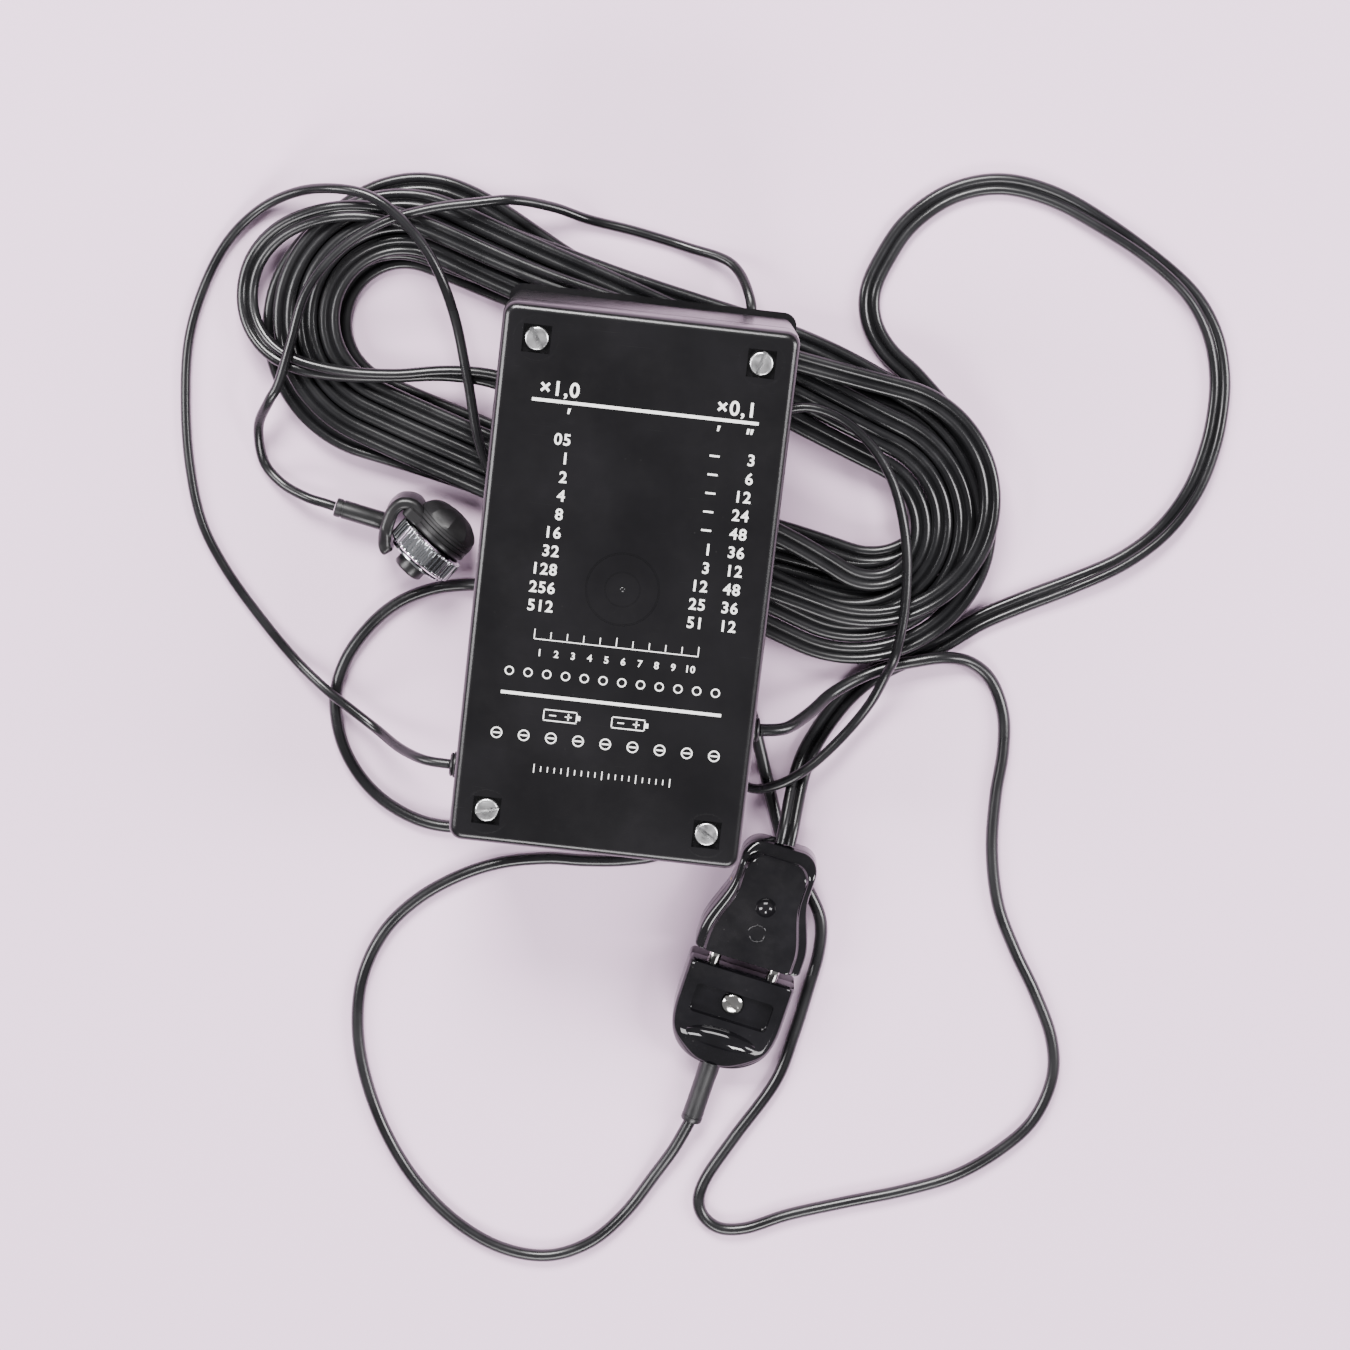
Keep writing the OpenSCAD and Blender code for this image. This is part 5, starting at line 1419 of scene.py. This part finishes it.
class TIMER_OT_jack(bpy.types.Operator):
    """Turns the jack plug on the twin lead's far end: ribbed boot, gripped barrel and two-pole tip"""

    bl_idname = "timer.jack"
    bl_label = "Jack Plug"

    def execute(self, context):
        boot = [(0, 0), (3.3, 0), (3.5, 0.3)]
        for k in range(5):
            z, r = 0.8 + 1.7 * k, 3.5 + 0.14 * k
            boot += [(r, z), (r, z + 0.8), (r - 0.5, z + 1.0), (r - 0.5, z + 1.5)]
        boot += [(4.2, 9.3), (4.2, 9.97), (0, 9.97)]
        barrel = [(0, 10.02), (4.6, 10.02), (5.0, 10.5)]
        for k in range(9):
            barrel += [(5.0, 11.0 + k), (5.0, 11.6 + k), (4.75, 11.8 + k)]
        barrel += [(5.0, 20.5), (5.0, 30.0), (4.7, 31.0), (4.0, 32.0), (0, 32.0)]
        tip = [(0, 32.04), (1.75, 32.04), (1.75, 37.6), (1.62, 37.7), (1.62, 38.2), (1.75, 38.3), (1.75, 42.2),
               (1.35, 42.9), (1.3, 43.2), (1.68, 44.0), (1.6, 44.6), (0.9, 45.7), (0.35, 46.0), (0, 46.02)]
        for name, rows, material, slot in (("boot", boot, finish("boot"), "boot_black"),
                                           ("barrel", barrel, finish("head"), "jack_black"),
                                           ("tip", tip, finish("nickel"), "pin_nickel")):
            points, faces = lathe(rows, 56)
            points = turned(points, "X", math.pi / 2) + JACK_AT
            turned_piece = piece("jack_%s_turned" % name, (points, faces), material, "case")
            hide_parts("jack_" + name)
        return {"FINISHED"}


class TIMER_OT_button_spring(bpy.types.Operator):
    """Winds the start button's return spring"""

    bl_idname = "timer.button_spring"
    bl_label = "Button Spring"

    def execute(self, context):
        low, high = node_box("button_spring")
        wire = 0.5
        r = (high[0] - low[0] - wire) / 2 - 0.02
        a = np.linspace(0, 2 * np.pi * 5.5, 200)
        z = np.linspace(low[2] + wire / 2 + 0.05, high[2] - wire / 2 - 0.05, 200)
        middle = (low + high) / 2
        helix = np.column_stack([middle[0] + r * np.cos(a), middle[1] + r * np.sin(a), z])
        spring = piece("button_spring_wound", sweep(helix, round_section(wire, 10)), finish("nickel"), "case")
        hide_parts("button_spring")
        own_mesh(spring)
        return {"FINISHED"}


class TIMER_OT_carried_pieces(bpy.types.Operator):
    """Gives every piece carried over from the frame its procedural finish"""

    bl_idname = "timer.carried_pieces"
    bl_label = "Carried Pieces"

    def execute(self, context):
        for node, (name, colour, rough, metal, grain) in CARRIED_FINISHES.items():
            material = finish_material(name, colour, rough, metal, grain=grain)
            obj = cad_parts[node]
            if not obj.material_slots:
                obj.data.materials.append(material)
            for slot in obj.material_slots:
                slot.material = material
        return {"FINISHED"}


# ---------------------------------------------------------------- stage

def floor_material(colour):
    """A plain seamless paper: the colour drifts by one part in fifty, with a very fine tooth."""
    material = bpy.data.materials.new("floor_paper")
    material.use_nodes = True
    tree = material.node_tree
    shader = tree.nodes["Principled BSDF"]
    grain = group_node(tree, "Moulding Grain", Grain_Scale=900.0, Blotch_Scale=3.0)
    light = tuple(min(1.0, c * 1.01) for c in colour)
    dark = tuple(c * 0.99 for c in colour)
    tree.links.new(mix_colour(tree, grain.outputs["Blotch"], dark, light), shader.inputs["Base Color"])
    bump = tree.nodes.new("ShaderNodeBump")
    bump.inputs["Distance"].default_value = 0.00001
    tree.links.new(grain.outputs["Height"], bump.inputs["Height"])
    tree.links.new(bump.outputs["Normal"], shader.inputs["Normal"])
    shader.inputs["Roughness"].default_value = 0.9
    shader.inputs["Specular IOR Level"].default_value = 0.2
    return material


def soft_light(name, place, aim, size, power, colour):
    """A large area light aimed at a point."""
    data = bpy.data.lights.new(name, "AREA")
    data.shape = "RECTANGLE"
    data.size, data.size_y = size
    data.energy = power
    data.color = colour
    obj = bpy.data.objects.new(name, data)
    obj.location = place
    direction = np.array(aim) - np.array(place)
    obj.rotation_euler = (math.acos(-direction[2] / np.linalg.norm(direction)), 0.0,
                          math.atan2(-direction[0], direction[1]))
    bpy.context.scene.collection.objects.link(obj)
    return obj


class TIMER_OT_stage(bpy.types.Operator):
    """Sets the plain pale floor and the soft light"""

    bl_idname = "timer.stage"
    bl_label = "Stage"

    def execute(self, context):
        stage = context.scene.timer_stage
        half = FLOOR_HALF
        mesh = bpy.data.meshes.new("floor")
        mesh.from_pydata([(-half, -half, 0), (half, -half, 0), (half, half, 0), (-half, half, 0)], [], [(0, 1, 2, 3)])
        mesh.materials.append(floor_material(tuple(stage.floor_colour)))
        floor = bpy.data.objects.new("floor", mesh)
        floor.location.z = -0.00002
        context.scene.collection.objects.link(floor)
        key = stage.key_power
        soft_light("key_light", (-0.35, 1.25, 1.35), (0, 0, 0), (0.8, 0.6), key, (1.0, 0.985, 0.98))
        soft_light("right_light", (1.45, 0.15, 1.15), (0, 0, 0), (0.6, 1.0), key * 0.55, (1.0, 0.98, 1.0))
        soft_light("left_light", (-1.45, -0.1, 1.2), (0, 0, 0), (0.6, 1.0), key * 0.45, (1.0, 0.98, 1.0))
        soft_light("front_light", (0.2, -1.4, 1.2), (0, 0, 0), (1.0, 0.6), key * 0.4, (1.0, 0.98, 0.99))
        world = bpy.data.worlds.new("studio")
        world.use_nodes = True
        world.node_tree.nodes["Background"].inputs["Color"].default_value = (0.98, 0.97, 1.0, 1.0)
        world.node_tree.nodes["Background"].inputs["Strength"].default_value = stage.fill_strength
        context.scene.world = world
        return {"FINISHED"}


# ---------------------------------------------------------------- panel and registration

STEPS = (
    TIMER_OT_camera, TIMER_OT_grommets, TIMER_OT_plug, TIMER_OT_coupling, TIMER_OT_release_head, TIMER_OT_jack,
    TIMER_OT_release_cord, TIMER_OT_plug_cord, TIMER_OT_twin_lead, TIMER_OT_case, TIMER_OT_base_screws,
    TIMER_OT_base_print, TIMER_OT_controls, TIMER_OT_button_spring,
    TIMER_OT_carried_pieces, TIMER_OT_stage,
)
SETTINGS = {
    "timer_case": CaseSettings,
    "timer_cords": CordSettings,
    "timer_plug": PlugSettings,
    "timer_head": HeadSettings,
    "timer_stage": StageSettings,
}


class TIMER_PT_builder(bpy.types.Panel):
    """Lists the timer's building steps"""

    bl_label = "Interval Timer"
    bl_idname = "TIMER_PT_builder"
    bl_space_type = "VIEW_3D"
    bl_region_type = "UI"
    bl_category = "Timer"

    def draw(self, context):
        column = self.layout.column(align=True)
        for step in STEPS:
            column.operator(step.bl_idname)


def register():
    """Registers the settings, the steps and the panel."""
    for group in SETTINGS.values():
        bpy.utils.register_class(group)
    for name, group in SETTINGS.items():
        setattr(bpy.types.Scene, name, bpy.props.PointerProperty(type=group))
    for step in STEPS:
        bpy.utils.register_class(step)
    bpy.utils.register_class(TIMER_PT_builder)


def unregister():
    """Takes back what register added, in the opposite order."""
    bpy.utils.unregister_class(TIMER_PT_builder)
    for step in reversed(STEPS):
        bpy.utils.unregister_class(step)
    for name in SETTINGS:
        delattr(bpy.types.Scene, name)
    for group in reversed(list(SETTINGS.values())):
        bpy.utils.unregister_class(group)


def main():
    """Registers the add-on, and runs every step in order."""
    register()
    for step in STEPS:
        group, name = step.bl_idname.split(".")
        result = getattr(getattr(bpy.ops, group), name)()
        if result != {"FINISHED"}:
            raise RuntimeError("step " + step.bl_label + " did not finish")


if __name__ == "__main__":
    main()
